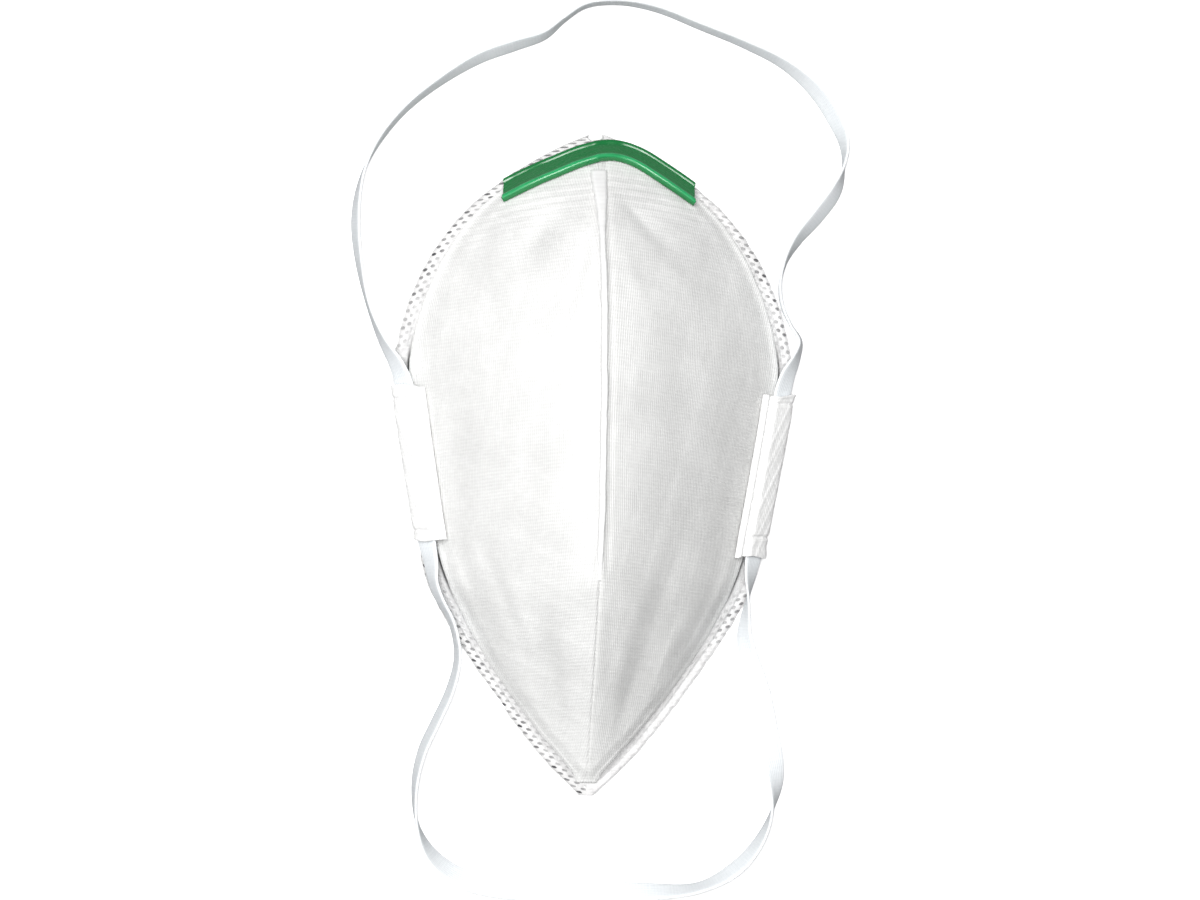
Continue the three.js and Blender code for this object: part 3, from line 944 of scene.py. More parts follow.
@dataclass(frozen=True)
class FloorFinish:
    """Plain pale paper that throws little light back on what lies on it."""

    name: str = "pale_paper"

    def material(self) -> bpy.types.Material:
        """The finish as a material."""
        material, graph, shader = start_material(self.name)
        seen = graph.add("ShaderNodeLightPath").outputs["Is Camera Ray"]
        bounced, shown = (0.30, 0.30, 0.30, 1.0), (0.97, 0.97, 0.97, 1.0)
        graph.feed(shader.inputs["Base Color"], graph.mix(seen, bounced, shown))
        shader.inputs["Roughness"].default_value = 0.9
        shader.inputs["Specular IOR Level"].default_value = 0.0
        shader.inputs["Emission Color"].default_value = (1.0, 1.0, 1.0, 1.0)
        graph.feed(shader.inputs["Emission Strength"], graph.math("MULTIPLY", seen, 0.35))
        return material


# ---------------------------------------------------------------- studio


@dataclass
class Studio:
    """Camera, lights and floor."""

    target: tuple[float, float] = (2.2, 4.1)
    distance: float = 1500.0
    view_width: float = 324.0
    tilt: float = 3.0
    lean: float = 0.95

    def camera(self) -> bpy.types.Object:
        """The camera, nearly straight above the mask."""
        data = bpy.data.cameras.new("camera")
        data.sensor_width = 36.0
        data.lens = 36.0 * self.distance / self.view_width
        data.clip_start, data.clip_end = 0.05, 50.0
        camera = bpy.data.objects.new("camera", data)
        bpy.context.scene.collection.objects.link(camera)
        tilt, lean = math.radians(self.tilt), math.radians(self.lean)
        back = Vector((-math.sin(tilt), 0.0, math.cos(tilt)))
        up_hint = Vector((-math.sin(lean), math.cos(lean), 0.0))
        right = up_hint.cross(back).normalized()
        up = back.cross(right)
        place = Vector((*self.target, 0.0)) * MM + back * self.distance * MM
        camera.matrix_world = Matrix(
            [(right[i], up[i], back[i], place[i]) for i in range(3)] + [(0.0, 0.0, 0.0, 1.0)]
        )
        bpy.context.scene.camera = camera
        return camera

    def light(self, name: str, place: tuple[float, float, float], size: float, power: float) -> None:
        """One soft square light that points at the mask.

        Args:
            name: its name.
            place: where it hangs, in metres.
            size: its side, in metres.
            power: in watts.
        """
        data = bpy.data.lights.new(name, "AREA")
        data.shape, data.size, data.energy = "SQUARE", size, power
        lamp = bpy.data.objects.new(name, data)
        bpy.context.scene.collection.objects.link(lamp)
        lamp.location = place
        lamp.rotation_euler = Vector(place).to_track_quat("Z", "Y").to_euler()

    def build(self) -> None:
        """Hangs the lights and lays the floor."""
        self.light("overhead_light", (-0.25, 0.3, 2.1), 1.1, 58.0)
        self.light("side_light", (-1.6, -0.6, 1.5), 0.9, 7.0)
        world = bpy.data.worlds.new("studio")
        world.use_nodes = True
        graph = Graph(world.node_tree)
        background = world.node_tree.nodes["Background"]
        seen = graph.add("ShaderNodeLightPath").outputs["Is Camera Ray"]
        graph.feed(background.inputs["Color"], (1.0, 1.0, 1.0, 1.0))
        graph.feed(background.inputs["Strength"], graph.remap(seen, 0.0, 1.0, 0.22, 0.92))
        bpy.context.scene.world = world
        bpy.context.scene.view_settings.view_transform = "Standard"
        bm = bmesh.new()
        bmesh.ops.create_grid(bm, x_segments=1, y_segments=1, size=8.0)
        bmesh.ops.translate(bm, verts=bm.verts, vec=(0.0, 0.0, -0.0002))
        mesh = bpy.data.meshes.new("floor")
        bm.to_mesh(mesh)
        bm.free()
        floor = bpy.data.objects.new("floor", mesh)
        bpy.context.scene.collection.objects.link(floor)
        mesh.materials.append(FloorFinish().material())


# ---------------------------------------------------------------- straps


@dataclass
class HeadStrap:
    """A free loop of flat elastic whose ends run into the cheek sleeves."""

    node: str
    route: tuple[tuple[float, ...], ...]
    exit_point: tuple[float, float, float]
    length: float
    steps: int = 560

    def __post_init__(self) -> None:
        """Prepares the route's curves."""
        rows = np.array(self.route, float)
        reach = np.hypot(*np.diff(rows[:, :2], axis=0).T)
        along = np.concatenate([[0.0], np.cumsum(reach)])
        self.reach = along[-1]
        self.curves = Curves(along, rows)

    def frames(self, v: Array) -> tuple[Array, Array, Array]:
        """Centre line and directions of the band.

        Args:
            v: shares of the route.

        Returns:
            The centre, the direction across the band and the direction square to it, at each share.
        """
        x, y, lift, roll = self.curves.read(v * self.reach).T
        turn = np.radians(roll)
        wide = STRAP_WIDTH / 2 * np.abs(np.cos(turn))
        thick = STRAP_THICK / 2 * np.abs(np.sin(turn))
        centre = points(x, y, np.maximum(lift, 0) + wide + thick)
        step = 0.5
        ahead = self.curves.read(v * self.reach + step)[:, :2] - self.curves.read(v * self.reach - step)[:, :2]
        ahead /= np.linalg.norm(ahead, axis=1)[:, None]
        tangent = points(ahead[:, 0], ahead[:, 1], np.zeros(len(ahead)))
        side = points(ahead[:, 1], -ahead[:, 0], np.zeros(len(ahead)))
        across = side * np.sin(turn)[:, None]
        across[:, 2] += np.cos(turn)
        return centre, across, np.cross(tangent, across)

    def face(self, u: Array, v: Array, side: float) -> Array:
        """One face of the band.

        Args:
            u: shares across it.
            v: shares along it.
            side: 1 for the outer face, -1 for the inner one.

        Returns:
            The points.
        """
        centre, across, normal = self.frames(v)
        off = -np.cos(np.pi * u) * STRAP_WIDTH / 2
        edge = np.clip(1 - np.abs(2 * off / STRAP_WIDTH) ** 9, 0.03, 1) ** 0.5
        thick = STRAP_THICK / 2 * edge - 0.05 * bell(np.abs(off), STRAP_WIDTH / 2 - 0.75, 0.22)
        return centre + across * off[:, None] + normal * (side * thick)[:, None]

    def grain(self, u: Array, v: Array) -> Array:
        """Distances across and along the band, in metres."""
        off = -np.cos(np.pi * u) * STRAP_WIDTH / 2
        return points(off * MM, v * self.reach * MM, 0 * u)

    def build(self, finish: bpy.types.Material) -> bpy.types.Object:
        """Args:
            finish: the elastic's material.

        Returns:
            The strap.
        """
        piece = Weave(f"{self.node}_elastic", 14, self.steps).build(
            lambda u, v: self.face(u, v, 1.0), lambda u, v: self.face(u, v, -1.0), {"grain": self.grain}
        )
        piece.data.materials.append(finish)
        line = self.frames(np.linspace(0, 1, 240))[0] * MM
        long = float(np.linalg.norm(np.diff(line, axis=0), axis=1).sum())
        log.info("%s centre line %.4f m", self.node, long)
        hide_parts(self.node)
        return piece


# ---------------------------------------------------------------- cloth of the mask


def slit(x: Array, y: Array) -> Array:
    """Where the cover's edge stands off the liner, above and below each sleeve, from 0 to 1."""
    above = smooth(y, 19.0, 24.0) * (1 - smooth(y, 27.0, 35.0))
    below = (1 - smooth(y, -26.0, -21.5)) * smooth(y, -39.0, -30.0)
    return np.where(x < 0, above + below, above + 0.9 * below)


@dataclass
class LinerHalf:
    """One half of the fleece that lines the mask, with its margin."""

    side: int
    across: int = 64
    along: int = 380

    @property
    def label(self) -> str:
        """Which half it is."""
        return "left" if self.side < 0 else "right"

    def lines(self, u: Array, v: Array) -> tuple[Array, Array, Array]:
        """Where a point of the grid is seen from above.

        Args:
            u: shares across, with half of them on the margin.
            v: shares along.

        Returns:
            Its x without side, its y, and the rim's half width there.
        """
        eased = v - 0.12 * np.sin(2 * np.pi * v) / 1.6
        y = SECTIONS[0][0] + (SECTIONS[-1][0] - SECTIONS[0][0]) * eased
        seed = 3 if self.side < 0 else 8
        fray = 0.16 * waver(y, 7.0, seed) + 0.1 * waver(y, 2.1, seed + 1)
        step = 0.55 * (smooth(y, -66.5, -65.4) - smooth(y, -63.5, -56.0)) if self.side < 0 else 0.0
        nick = 0.5 * bell(y, 48.4, 0.5) if self.side > 0 else 0.0
        rim = SHAPE.rim(y)
        edge = rim + (fray - step - nick) * np.minimum(rim / 12, 1)
        edge = np.minimum(edge, rim + 0.3)
        cover = SHAPE.cover_half(y)
        inner = np.clip(cover - 1.2, 0.3 * rim, None)
        x = np.where(u < 0.5, 2 * u * inner, inner + (2 * u - 1) ** 0.9 * (edge - inner))
        return x, y, edge

    def outer(self, u: Array, v: Array) -> Array:
        """The face under the cover, and the margin."""
        x, y, edge = self.lines(u, v)
        to_edge = edge - x
        pressed = 0.45 * (1 - smooth(to_edge, 0.0, 0.9))
        ripple = 0.06 * waver(y + 1.7 * x, 5.0, 21) * smooth(to_edge, 0.0, 1.0)
        z = SHAPE.height(x, y, LINER_WALL - pressed, self.rounded(y))
        groove = slit(self.side * x, y)
        near_cover = bell(x - SHAPE.cover_half(y), 0.15, 0.45)
        return points(self.side * x, y, np.maximum(z + ripple - 0.55 * groove * near_cover, 0.25))

    def inner(self, u: Array, v: Array) -> Array:
        """The face towards the wearer."""
        x, y, _ = self.lines(u, v)
        return points(self.side * x, y, SHAPE.height(x, y, 0.0, self.rounded(y)))

    def rounded(self, y: Array) -> Array:
        """How far the ridge is rounded off."""
        return 0.6 + 0.9 * (1 - smooth(y, -38.0, -26.0))

    def grain(self, u: Array, v: Array) -> Array:
        """Places on the fleece, in metres."""
        x, y, _ = self.lines(u, v)
        return points(self.side * x * 1.3 * MM, y * 1.1 * MM, SHAPE.rise(x, y) * MM)

    def rim_mark(self, u: Array, v: Array) -> Array:
        """Distance in from the rim, distance along it, and how strongly its dots show."""
        x, y, edge = self.lines(u, v)
        samples = np.linspace(SECTIONS[0][0], SECTIONS[-1][0], 600)
        rim = SHAPE.rim(samples)
        run = np.concatenate([[0.0], np.cumsum(np.hypot(np.diff(samples), np.diff(rim)))])
        slope = np.interp(y, samples, np.gradient(rim, samples))
        inward = (SHAPE.rim(y) - x) / np.sqrt(1 + slope**2)
        along = np.interp(y, samples, run)
        if self.side < 0:
            shown = 1.0 - 0.5 * bell(y, 30, 14)
        else:
            shown = 0.95 * bell(y, 46, 22) + 0.9 * bell(y, -40, 7) + 0.12
        return points(np.maximum(inward, 0) * MM, along * MM, np.clip(shown, 0, 1))

    def painted_slit_shade_mark(self, u: Array, v: Array) -> Array:
        """How deeply the fleece is darkened by painted shade where the cover's edge stands off it."""
        x, y, _ = self.lines(u, v)
        shade = slit(self.side * x, y) * bell(x - SHAPE.cover_half(y), 0.25, 0.42)
        return points(np.clip(shade, 0, 1), 0 * x, 0 * x)

    def build(self, finish: bpy.types.Material) -> bpy.types.Object:
        """Args:
            finish: the fleece's material.

        Returns:
            The half.
        """
        piece = Weave(f"liner_{self.label}_fleece", self.across, self.along).build(
            self.outer,
            self.inner,
            {"grain": self.grain, "rim": self.rim_mark, "painted_slit_shade": self.painted_slit_shade_mark},
        )
        piece.data.materials.append(finish)
        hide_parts(f"liner_{self.label}")
        return piece


@dataclass
class CoverHalf:
    """One half of the white cover, welded on round its edge and along the ridge."""

    side: int
    across: int = 96
    along: int = 300
    cloth: float = 0.5

    @property
    def label(self) -> str:
        """Which half it is."""
        return "left" if self.side < 0 else "right"

    def lines(self, u: Array, v: Array) -> tuple[Array, Array, Array]:
        """Where a point of the grid is seen from above.

        Args:
            u: shares across.
            v: shares along.

        Returns:
            Its x without side, its y, and its distance in from the cover's edge.
        """
        eased = v - 0.075 * np.sin(2 * np.pi * v)
        y = COVER_FROM + (COVER_TO - COVER_FROM) * eased
        half = SHAPE.cover_half(y) + 0.1 * waver(y, 9.0, 31 + self.side)
        x = half * (1.15 * u - 0.15 * u**2)
        away = np.minimum.reduce([half - x, y - COVER_FROM + 0.3, COVER_TO - y + 0.3])
        return x, y, np.maximum(away, 0)

    def level(self, x: Array, y: Array, away: Array) -> Array:
        """Distance of the cover's outer face from the liner's inner face."""
        flat = LINER_WALL + self.cloth + 0.12
        full = Layer.COVER_OUT.value
        level = flat + (full - flat) * smooth(away, 0.0, 4.2)
        hem = 0.12 * bell(away, 0.7, 0.4)
        return level + hem + 1.1 * slit(self.side * x, y) * (1 - smooth(away, 0.0, 6.0))

    def relief(self, x: Array, y: Array) -> Array:
        """Depth of the cloth's own folds, positive inwards."""
        real_x = self.side * x
        folds = sum(crease.at(real_x, y) for crease in CREASES)
        near_seam = 0.3 * bell(x, 1.9, 0.8) * smooth(y, -32.0, -24.0)
        to_clip = 79.5 - 0.17 * np.abs(real_x - 3) - 0.0045 * (real_x - 3) ** 2 - y
        ripples = 0.07 * np.sin(2 * np.pi * to_clip / 2.3 + 0.35 * x) * bell(to_clip, 5.0, 5.0)
        pull = 0.07 * waver(y + 0.5 * real_x, 17.0, 5) + 0.05 * waver(real_x - 0.3 * y, 11.0, 6)
        keel = 0.25 * bell(x, 4.2, 2.2) * (1 - smooth(y, -44.0, -30.0)) * smooth(y, -84.0, -70.0)
        return (folds + near_seam + ripples + pull + keel) * smooth(x, 0.0, 1.2)

    def face(self, u: Array, v: Array, inwards: float) -> Array:
        """One face of the cloth.

        Args:
            u: shares across.
            v: shares along.
            inwards: how far it lies inside the outer face.

        Returns:
            The points.
        """
        x, y, away = self.lines(u, v)
        rounded = 0.7 + 1.1 * (1 - smooth(y, -38.0, -26.0))
        level = self.level(x, y, away) - inwards - self.relief(x, y) * smooth(away, 0.3, 3.0)
        z = SHAPE.height(x, y, level, rounded)
        return points(self.side * x, y, z)

    def grain(self, u: Array, v: Array) -> Array:
        """Places on the flat panel, in metres: across from the seam, and along."""
        x, y, _ = self.lines(u, v)
        samples = np.linspace(0, 1, 40)
        down = np.zeros_like(x)
        before = SHAPE.rise(0 * x, y)
        for share in samples[1:]:
            here = SHAPE.rise(x * share, y)
            down += np.hypot(x / (len(samples) - 1), here - before)
            before = here
        bow = 0.0016 * (y - 8) ** 2
        return points(self.side * (down - bow) * MM, (y * 1.12 + 0.1 * down) * MM, 0 * x + self.side)

    def build(self, finish: bpy.types.Material) -> bpy.types.Object:
        """Args:
            finish: the cover cloth's material.

        Returns:
            The half.
        """
        piece = Weave(f"cover_{self.label}_cloth", self.across, self.along).build(
            lambda u, v: self.face(u, v, 0.0),
            lambda u, v: self.face(u, v, self.cloth),
            {"grain": self.grain},
        )
        piece.data.materials.append(finish)
        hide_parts(f"cover_{self.label}")
        return piece


@dataclass
class CheekSleeve:
    """A flat cloth channel on the cheek, welded across near both ends, with a pleat along its inner edge."""

    side: int
    ends: tuple[float, float]
    welds: tuple[float, float]
    notch: float
    wall: float = 0.55
    outline: tuple[tuple[float, float], ...] = (
        (4.4, 0.0),
        (8.0, 0.0),
        (10.5, 0.05),
        (10.7, 0.6),
        (10.1, 1.45),
        (9.4, 1.6),
        (8.85, 1.1),
        (8.55, 1.15),
        (8.35, 2.2),
        (7.6, 2.85),
        (5.6, 3.0),
        (3.2, 3.0),
        (1.4, 2.8),
        (0.3, 2.2),
        (0.0, 1.2),
        (0.35, 0.35),
        (1.6, 0.0),
        (4.4, 0.0),
    )

    def __post_init__(self) -> None:
        """Prepares the outline's curves and the places that carry it."""
        rows = np.array(self.outline)
        run = np.concatenate([[0.0], np.cumsum(np.hypot(*np.diff(rows, axis=0).T))])
        self.around = Curves(run / run[-1], rows)
        self.y_rows = np.linspace(self.ends[0] - 1, self.ends[1] + 1, 60)
        self.frame_rows = self.carry(self.y_rows)

    @property
    def label(self) -> str:
        """Which cheek it is on."""
        return "left" if self.side < 0 else "right"

    def carry(self, y: Array) -> Array:
        """Where the outline is carried along the cheek.

        Args:
            y: places along the mask.

        Returns:
            For each, x and z of its outer lower edge, and x and z of the direction across.
        """
        rim = SHAPE.rim(y)
        start = np.stack([rim - 0.1, np.full_like(y, LINER_WALL + 1.5 * GAP)], 1)
        end_x = rim - SLEEVE_PLAN
        end = np.stack([end_x, SHAPE.height(end_x, y, Layer.COVER_OUT.value) + 2 * GAP], 1)
        across = end - start
        across /= np.linalg.norm(across, axis=1)[:, None]
        up = np.stack([across[:, 1], -across[:, 0]], 1)
        lift = np.zeros_like(y)
        for share in np.arange(0.1, 1.0, 0.1):
            at = start + (end - start) * share
            over = at[:, 0] <= SHAPE.cover_half(y) + 0.3
            layer = np.where(over, Layer.COVER_OUT.value, Layer.LINER_OUT.value)
            lift = np.maximum(lift, SHAPE.height(at[:, 0], y, layer) + 1.3 * GAP - at[:, 1])
        return np.hstack([start + up * lift[:, None], across])

    def face(self, u: Array, v: Array, inwards: float) -> Array:
        """One face of the channel's cloth.

        Args:
            u: shares round the outline.
            v: shares along the channel.
            inwards: how far it lies inside the outer face.

        Returns:
            The points.
        """
        low, high = self.ends
        y = low + (high - low) * v
        a, n = self.around.read(u).T
        ahead = self.around.read(np.minimum(u + 0.004, 1)) - self.around.read(np.maximum(u - 0.004, 0))
        ahead /= np.maximum(np.linalg.norm(ahead, axis=1), 1e-9)[:, None]
        a, n = a - ahead[:, 1] * inwards, n + ahead[:, 0] * inwards
        upper = smooth(n, 0.9, 1.9) * smooth(9.0 - a, 0.0, 0.8)
        press = bell(y, self.welds[0], 0.42) + bell(y, self.welds[1], 0.42)
        hem = np.maximum(1 - smooth(y, low, self.welds[0]), smooth(y, self.welds[1], high))
        lift = -0.62 * press - 0.12 * smooth(hem, 0, 0.4) + 0.35 * smooth(hem, 0.5, 1.0)
        soft = 0.09 * waver(y + 2.2 * a, 9.0, 41 + self.side) + 0.05 * waver(y - 1.1 * a, 3.7, 43)
        n = n + upper * (lift + soft)
        inner_edge = bell(a, 8.4, 0.9) * smooth(n, 0.8, 1.6)
        a = a + inner_edge * (0.22 * waver(y, 8.0, 47 + self.side) - 0.7 * bell(y, self.notch, 0.7))
        a = a + 0.1 * waver(y, 6.0, 51 + self.side) * bell(a, 0.0, 1.2)
        y = y + 0.35 * (hem**2) * np.sin(0.55 * a + self.side) * np.where(v > 0.5, 1, -1)
        start_x, start_z, across_x, across_z = (
            np.interp(y, self.y_rows, self.frame_rows[:, i]) for i in range(4)
        )
        x = start_x + across_x * a + across_z * n
        z = start_z + across_z * a - across_x * n
        return points(self.side * x, y, z)

    def grain(self, u: Array, v: Array) -> Array:
        """Places on the channel's cloth, in metres."""
        a, n = self.around.read(u).T
        y = self.ends[0] + (self.ends[1] - self.ends[0]) * v
        return points((a + 0.2 * n) * MM, y * MM, 0 * u)

    def build(self, finish: bpy.types.Material) -> bpy.types.Object:
        """Args:
            finish: the sleeve cloth's material.

        Returns:
            The sleeve.
        """
        piece = Weave(f"sleeve_{self.label}_cloth", 84, 170, Build.TUBE).build(
            lambda u, v: self.face(u, v, 0.0),
            lambda u, v: self.face(u, v, self.wall),
            {"grain": self.grain},
        )
        piece.data.materials.append(finish)
        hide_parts(f"sleeve_{self.label}")
        return piece


@dataclass
class CentreSeam:
    """The raised weld along the ridge, and its small end on the rim."""

    steps: int = 260

    def __post_init__(self) -> None:
        """Prepares the seam's curves."""
        self.sizes = Curves([row[0] for row in SEAM], [row[1:] for row in SEAM])

    def rib(self, u: Array, v: Array) -> Array:
        """The weld's surface, from round the section and along it."""
        low, high = SEAM[0][0], SEAM[-1][0]
        y = low + (high - low) * v
        half, tall = self.sizes.read(y).T
        fade = smooth(v, 0.0, 0.07)
        half = half * (0.55 + 0.45 * fade) * (1 + 0.07 * waver(y, 11.0, 61))
        tall = tall * (0.35 + 0.65 * fade) * (1 + 0.05 * waver(y, 7.0, 62))
        turn = 2 * np.pi * u
        across, up = np.cos(turn), np.sin(turn)
        x = half * np.sign(across) * np.abs(across) ** 0.7 + 0.12 * waver(y, 26.0, 63)
        seat = SHAPE.height(np.abs(x), y, Layer.COVER_OUT.value - 0.2, 0.7)
        top = SHAPE.height(0 * x, y, Layer.COVER_OUT.value, 0.7) + tall
        z = np.where(up > 0, seat + (top - seat) * np.abs(up) ** 0.75, seat - 0.25 * np.abs(up))
        return points(x, y, z)

    def grain(self, u: Array, v: Array) -> Array:
        """Places on the weld, in metres."""
        y = SEAM[0][0] + (SEAM[-1][0] - SEAM[0][0]) * v
        return points(2.2 * np.sin(2 * np.pi * u) * MM, y * MM, 0 * u)

    def end_pillow(self, finish: bpy.types.Material) -> bpy.types.Object:
        """The weld's end: a small pressed pillow with a pinch across it.

        Args:
            finish: its material.

        Returns:
            The pillow.
        """
        low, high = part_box("seam_end")
        centre, half = (Vector(low) + Vector(high)) / 2, (Vector(high) - Vector(low)) / 2
        bm = bmesh.new()
        bmesh.ops.create_uvsphere(bm, u_segments=40, v_segments=24, radius=1.0)
        for vert in bm.verts:
            x, y, z = vert.co
            pinch = 1 - 0.22 * math.exp(-((x / 0.3) ** 2)) * max(z, 0)
            flat = max(z, -0.35)
            vert.co = Vector((x * (1 + 0.12 * y), y * (1 - 0.12 * x * x), flat * pinch + 0.05 * math.sin(5 * x)))
        bmesh.ops.scale(bm, verts=bm.verts, vec=half * 1.06)
        bmesh.ops.translate(bm, verts=bm.verts, vec=centre)
        bmesh.ops.smooth_vert(bm, verts=bm.verts, factor=0.4, use_axis_x=True, use_axis_y=True, use_axis_z=True)
        mesh = bpy.data.meshes.new("seam_end_pillow")
        bm.to_mesh(mesh)
        bm.free()
        layer = mesh.attributes.new("grain", "FLOAT_VECTOR", "POINT")
        layer.data.foreach_set("vector", [part for vert in mesh.vertices for part in vert.co])
        face_outwards(mesh)
        piece = new_piece("seam_end_pillow", mesh)
        mesh.materials.append(finish)
        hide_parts("seam_end")
        return piece

    def build(self, finish: bpy.types.Material) -> list[bpy.types.Object]:
        """Makes the seam and its end, and takes their nodes' places.

        Args:
            finish: the pressed cloth's material.

        Returns:
            Both pieces.
        """
        seam = Weave("centre_seam_weld", 28, self.steps, Build.SOLID).build(self.rib, None, {"grain": self.grain})
        seam.data.materials.append(finish)
        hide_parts("centre_seam")
        return [seam, self.end_pillow(finish)]


@dataclass
class NoseClip:
    """The bent nose clip: a shallow channel between two ribs, with a wire's ends showing."""

    steps: int = 120
    section: tuple[tuple[float, float], ...] = (
        (0.0, 0.0),
        (0.5, 0.0),
        (1.0, 0.0),
        (1.0, 1.3),
        (0.965, 1.68),
        (0.9, 1.84),
        (0.82, 1.72),
        (0.76, 1.22),
        (0.62, 1.06),
        (0.5, 1.18),
        (0.4, 1.1),
        (0.2, 1.08),
        (0.155, 1.5),
        (0.1, 1.66),
        (0.03, 1.56),
        (0.0, 1.2),
        (0.0, 0.0),
    )

    def __post_init__(self) -> None:
        """Prepares the route by its own length."""
        rows = np.array(CLIP_ROUTE)
        chord = np.concatenate([[0.0], np.cumsum(np.hypot(*np.diff(rows, axis=0).T) ** 0.5)])
        dense = Curves(chord, rows).read(np.linspace(0, chord[-1], 400))
        run = np.concatenate([[0.0], np.cumsum(np.hypot(*np.diff(dense, axis=0).T))])
        self.length = run[-1]
        self.shares, self.line = run / run[-1], dense

    def seat(self, share: Array, off: float) -> Array:
        """Points on the cover under the clip.

        Args:
            share: shares of the clip's length.
            off: distance from its centre line, towards the mouth.

        Returns:
            The points.
        """
        at = [np.interp(share, self.shares, self.line[:, i]) for i in range(2)]
        ahead = self.ahead(share)
        x, y = at[0] + ahead[:, 1] * off, at[1] - ahead[:, 0] * off
        return points(x, y, SHAPE.height(np.abs(x), y, Layer.COVER_OUT.value))

    def ahead(self, share: Array) -> Array:
        """The clip's direction, seen from above."""
        step = 0.004
        low, high = np.clip(share - step, 0, 1), np.clip(share + step, 0, 1)
        way = [
            np.interp(high, self.shares, self.line[:, i]) - np.interp(low, self.shares, self.line[:, i])
            for i in range(2)
        ]
        way = np.stack(way, 1)
        return way / np.linalg.norm(way, axis=1)[:, None]

    def place(self, share: Array, along: Array, up: Array) -> Array:
        """Points of the clip.

        Args:
            share: shares of its length.
            along: shares across it, from the nose edge.
            up: heights over its underside.

        Returns:
            The points.
        """
        trim = CLIP_TRIM / self.length
        nose = self.seat(trim + (1 - 2 * trim) * share, -CLIP_PLAN_WIDTH / 2)
        brow = self.seat(share, CLIP_PLAN_WIDTH / 2)
        middle = self.seat(trim / 2 + (1 - trim) * share, 0.0)
        hump = np.maximum(middle[:, 2] - (nose[:, 2] + brow[:, 2]) / 2, 0)
        across = brow - nose
        ahead = self.ahead(share)
        normal = np.cross(across, points(ahead[:, 0], ahead[:, 1], 0 * share))
        normal /= np.linalg.norm(normal, axis=1)[:, None]
        return nose + across * along[:, None] + normal * (up + 1.6 * GAP + hump)[:, None]

    def outline(self, u: Array) -> tuple[Array, Array]:
        """The section's points from round it."""
        rows = np.array(self.section)
        where = u * (len(rows) - 1)
        return tuple(np.interp(where, np.arange(len(rows)), rows[:, i]) for i in range(2))

    def surface(self, u: Array, v: Array) -> Array:
        """The clip's surface."""
        along, up = self.outline(u)
        return self.place(v, along, up)

    def grain(self, u: Array, v: Array) -> Array:
        """Distances across and along, in metres, and the share of rib."""
        along, up = self.outline(u)
        raised = smooth(up, 1.15, 1.5) * smooth(along, 0.5, 0.8)
        return points(along * CLIP_PLAN_WIDTH * MM, v * self.length * MM, raised)

    def wires(self) -> bpy.types.Object:
        """The cut ends of the wire inside the clip."""
        bm = bmesh.new()
        for share in (0.0, 1.0):
            shares = np.array([share, 0.05 + 0.9 * share])
            ends = self.place(shares, np.full(2, 0.87), np.full(2, 0.85))
            out = Vector(ends[0] - ends[1]).normalized()
            turn = out.to_track_quat("Z", "Y").to_matrix().to_4x4()
            made = bmesh.ops.create_cone(
                bm,
                cap_ends=True,
                segments=20,
                radius1=0.38 * MM,
                radius2=0.34 * MM,
                depth=1.6 * MM,
                matrix=Matrix.Translation(Vector(ends[0]) * MM - out * 0.45 * MM) @ turn,
            )
            rim = [edge for vert in made["verts"] for edge in vert.link_edges if edge.calc_face_angle(0) > 1]
            bmesh.ops.bevel(
                bm,
                geom=list(set(rim)),
                offset=0.06 * MM,
                segments=2,
                profile=0.5,
                affect="EDGES",
                material=-1,
            )
        mesh = bpy.data.meshes.new("nose_clip_wire_ends")
        bm.to_mesh(mesh)
        bm.free()
        face_outwards(mesh)
        return new_piece("nose_clip_wire_ends", mesh)

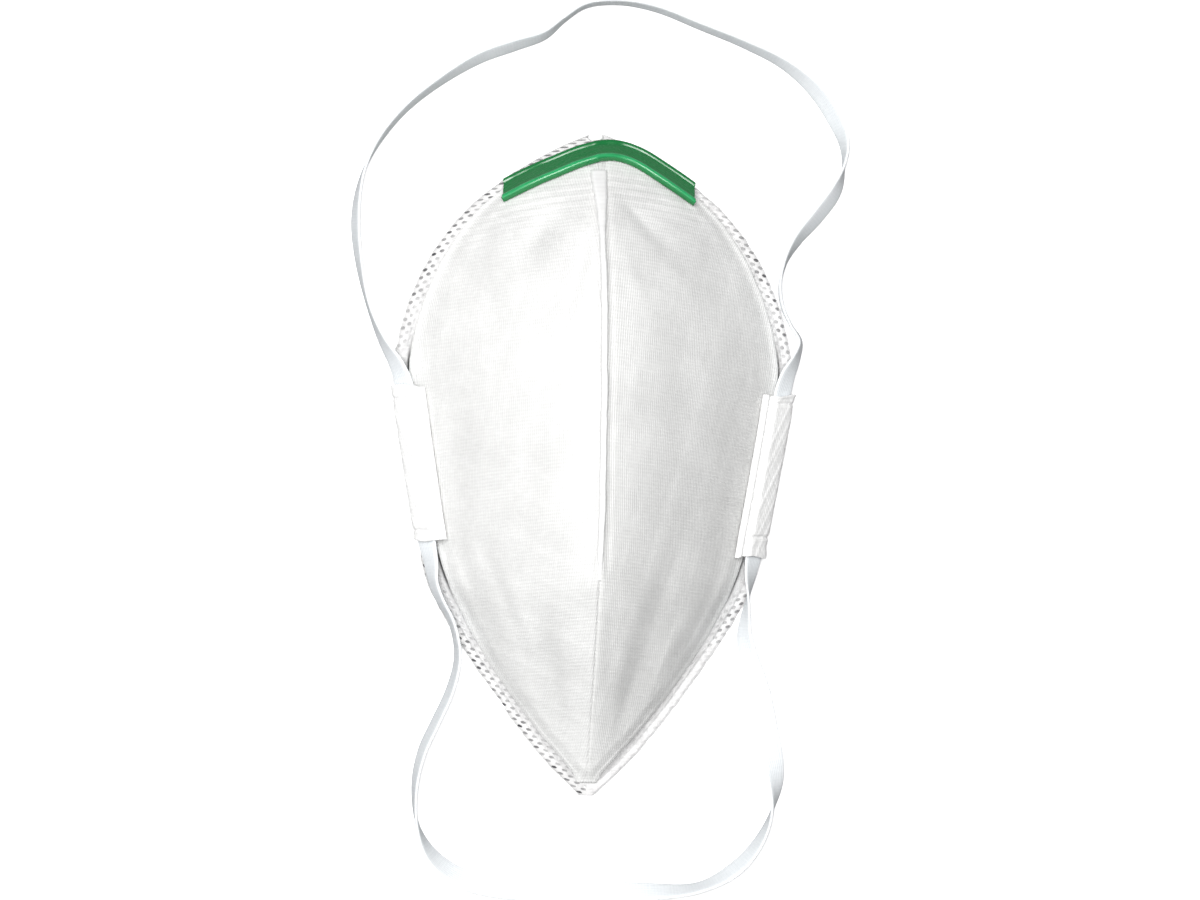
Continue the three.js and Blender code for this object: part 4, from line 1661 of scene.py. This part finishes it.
    def build(self, plastic: bpy.types.Material, steel: bpy.types.Material) -> list[bpy.types.Object]:
        """Makes the clip and its wire ends.

        Args:
            plastic: the clip's material.
            steel: the wire's material.

        Returns:
            Both pieces.
        """
        clip = Weave("nose_clip_channel", len(self.section) - 1, self.steps, Build.SOLID).build(
            self.surface, None, {"grain": self.grain}
        )
        clip.data.materials.append(plastic)
        bevel = clip.modifiers.new("soft_edges", "BEVEL")
        bevel.limit_method, bevel.angle_limit = "ANGLE", math.radians(22)
        bevel.width, bevel.segments = 0.12 * MM, 3
        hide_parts("nose_clip")
        wires = self.wires()
        wires.data.materials.append(steel)
        return [clip, wires]


# ---------------------------------------------------------------- assembly


def report(piece: bpy.types.Object) -> None:
    """Says what a piece has come out as."""
    log.info("%s: %d faces", piece.name, len(piece.data.polygons))


def main() -> None:
    """Builds the mask piece by piece."""
    logging.basicConfig(level=logging.INFO, format="%(message)s")
    studio = Studio()
    studio.camera()
    elastic = ElasticFinish("knitted_elastic", (0.90, 0.92, 0.935, 1.0), (0.70, 0.735, 0.76, 1.0)).material()
    straps = (
        HeadStrap("upper_strap", UPPER_STRAP, (-51.0, 20.6, 5.5), 0.3095),
        HeadStrap("lower_strap", LOWER_STRAP, (-44.2, -21.0, 5.6), 0.2803),
    )
    for strap in straps:
        report(strap.build(elastic))
    studio.build()

    fleece = LinerFinish(
        "pressed_fleece", (0.86, 0.855, 0.85, 1.0), (0.60, 0.595, 0.595, 1.0), (0.045, 0.045, 0.05, 1.0)
    ).material()
    cloth = CoverFinish("ribbed_spun_cloth", (0.90, 0.90, 0.89, 1.0), (0.70, 0.70, 0.69, 1.0)).material()
    channel = CoverFinish(
        "sleeve_cloth", (0.93, 0.93, 0.925, 1.0), (0.78, 0.78, 0.775, 1.0), 0.0007, 0.0009, 0.8, 0.00005
    ).material()
    weld = CoverFinish(
        "pressed_weld_cloth", (0.95, 0.95, 0.945, 1.0), (0.82, 0.82, 0.815, 1.0), 0.0008, 0.0012, 1.0, 0.00003
    ).material()
    green = PlasticFinish("green_clip_plastic", (0.004, 0.155, 0.036, 1.0), (0.022, 0.36, 0.12, 1.0)).material()
    steel = WireFinish("cut_wire").material()

    for side in (-1, 1):
        report(LinerHalf(side).build(fleece))
        report(CoverHalf(side).build(cloth))
    report(CheekSleeve(-1, (-20.9, 20.6), (-18.3, 17.0), 10.6).build(channel))
    report(CheekSleeve(1, (-24.1, 19.6), (-18.7, 17.3), -8.0).build(channel))
    for piece in (*CentreSeam().build(weld), *NoseClip().build(green, steel)):
        report(piece)


if __name__ == "__main__":
    main()
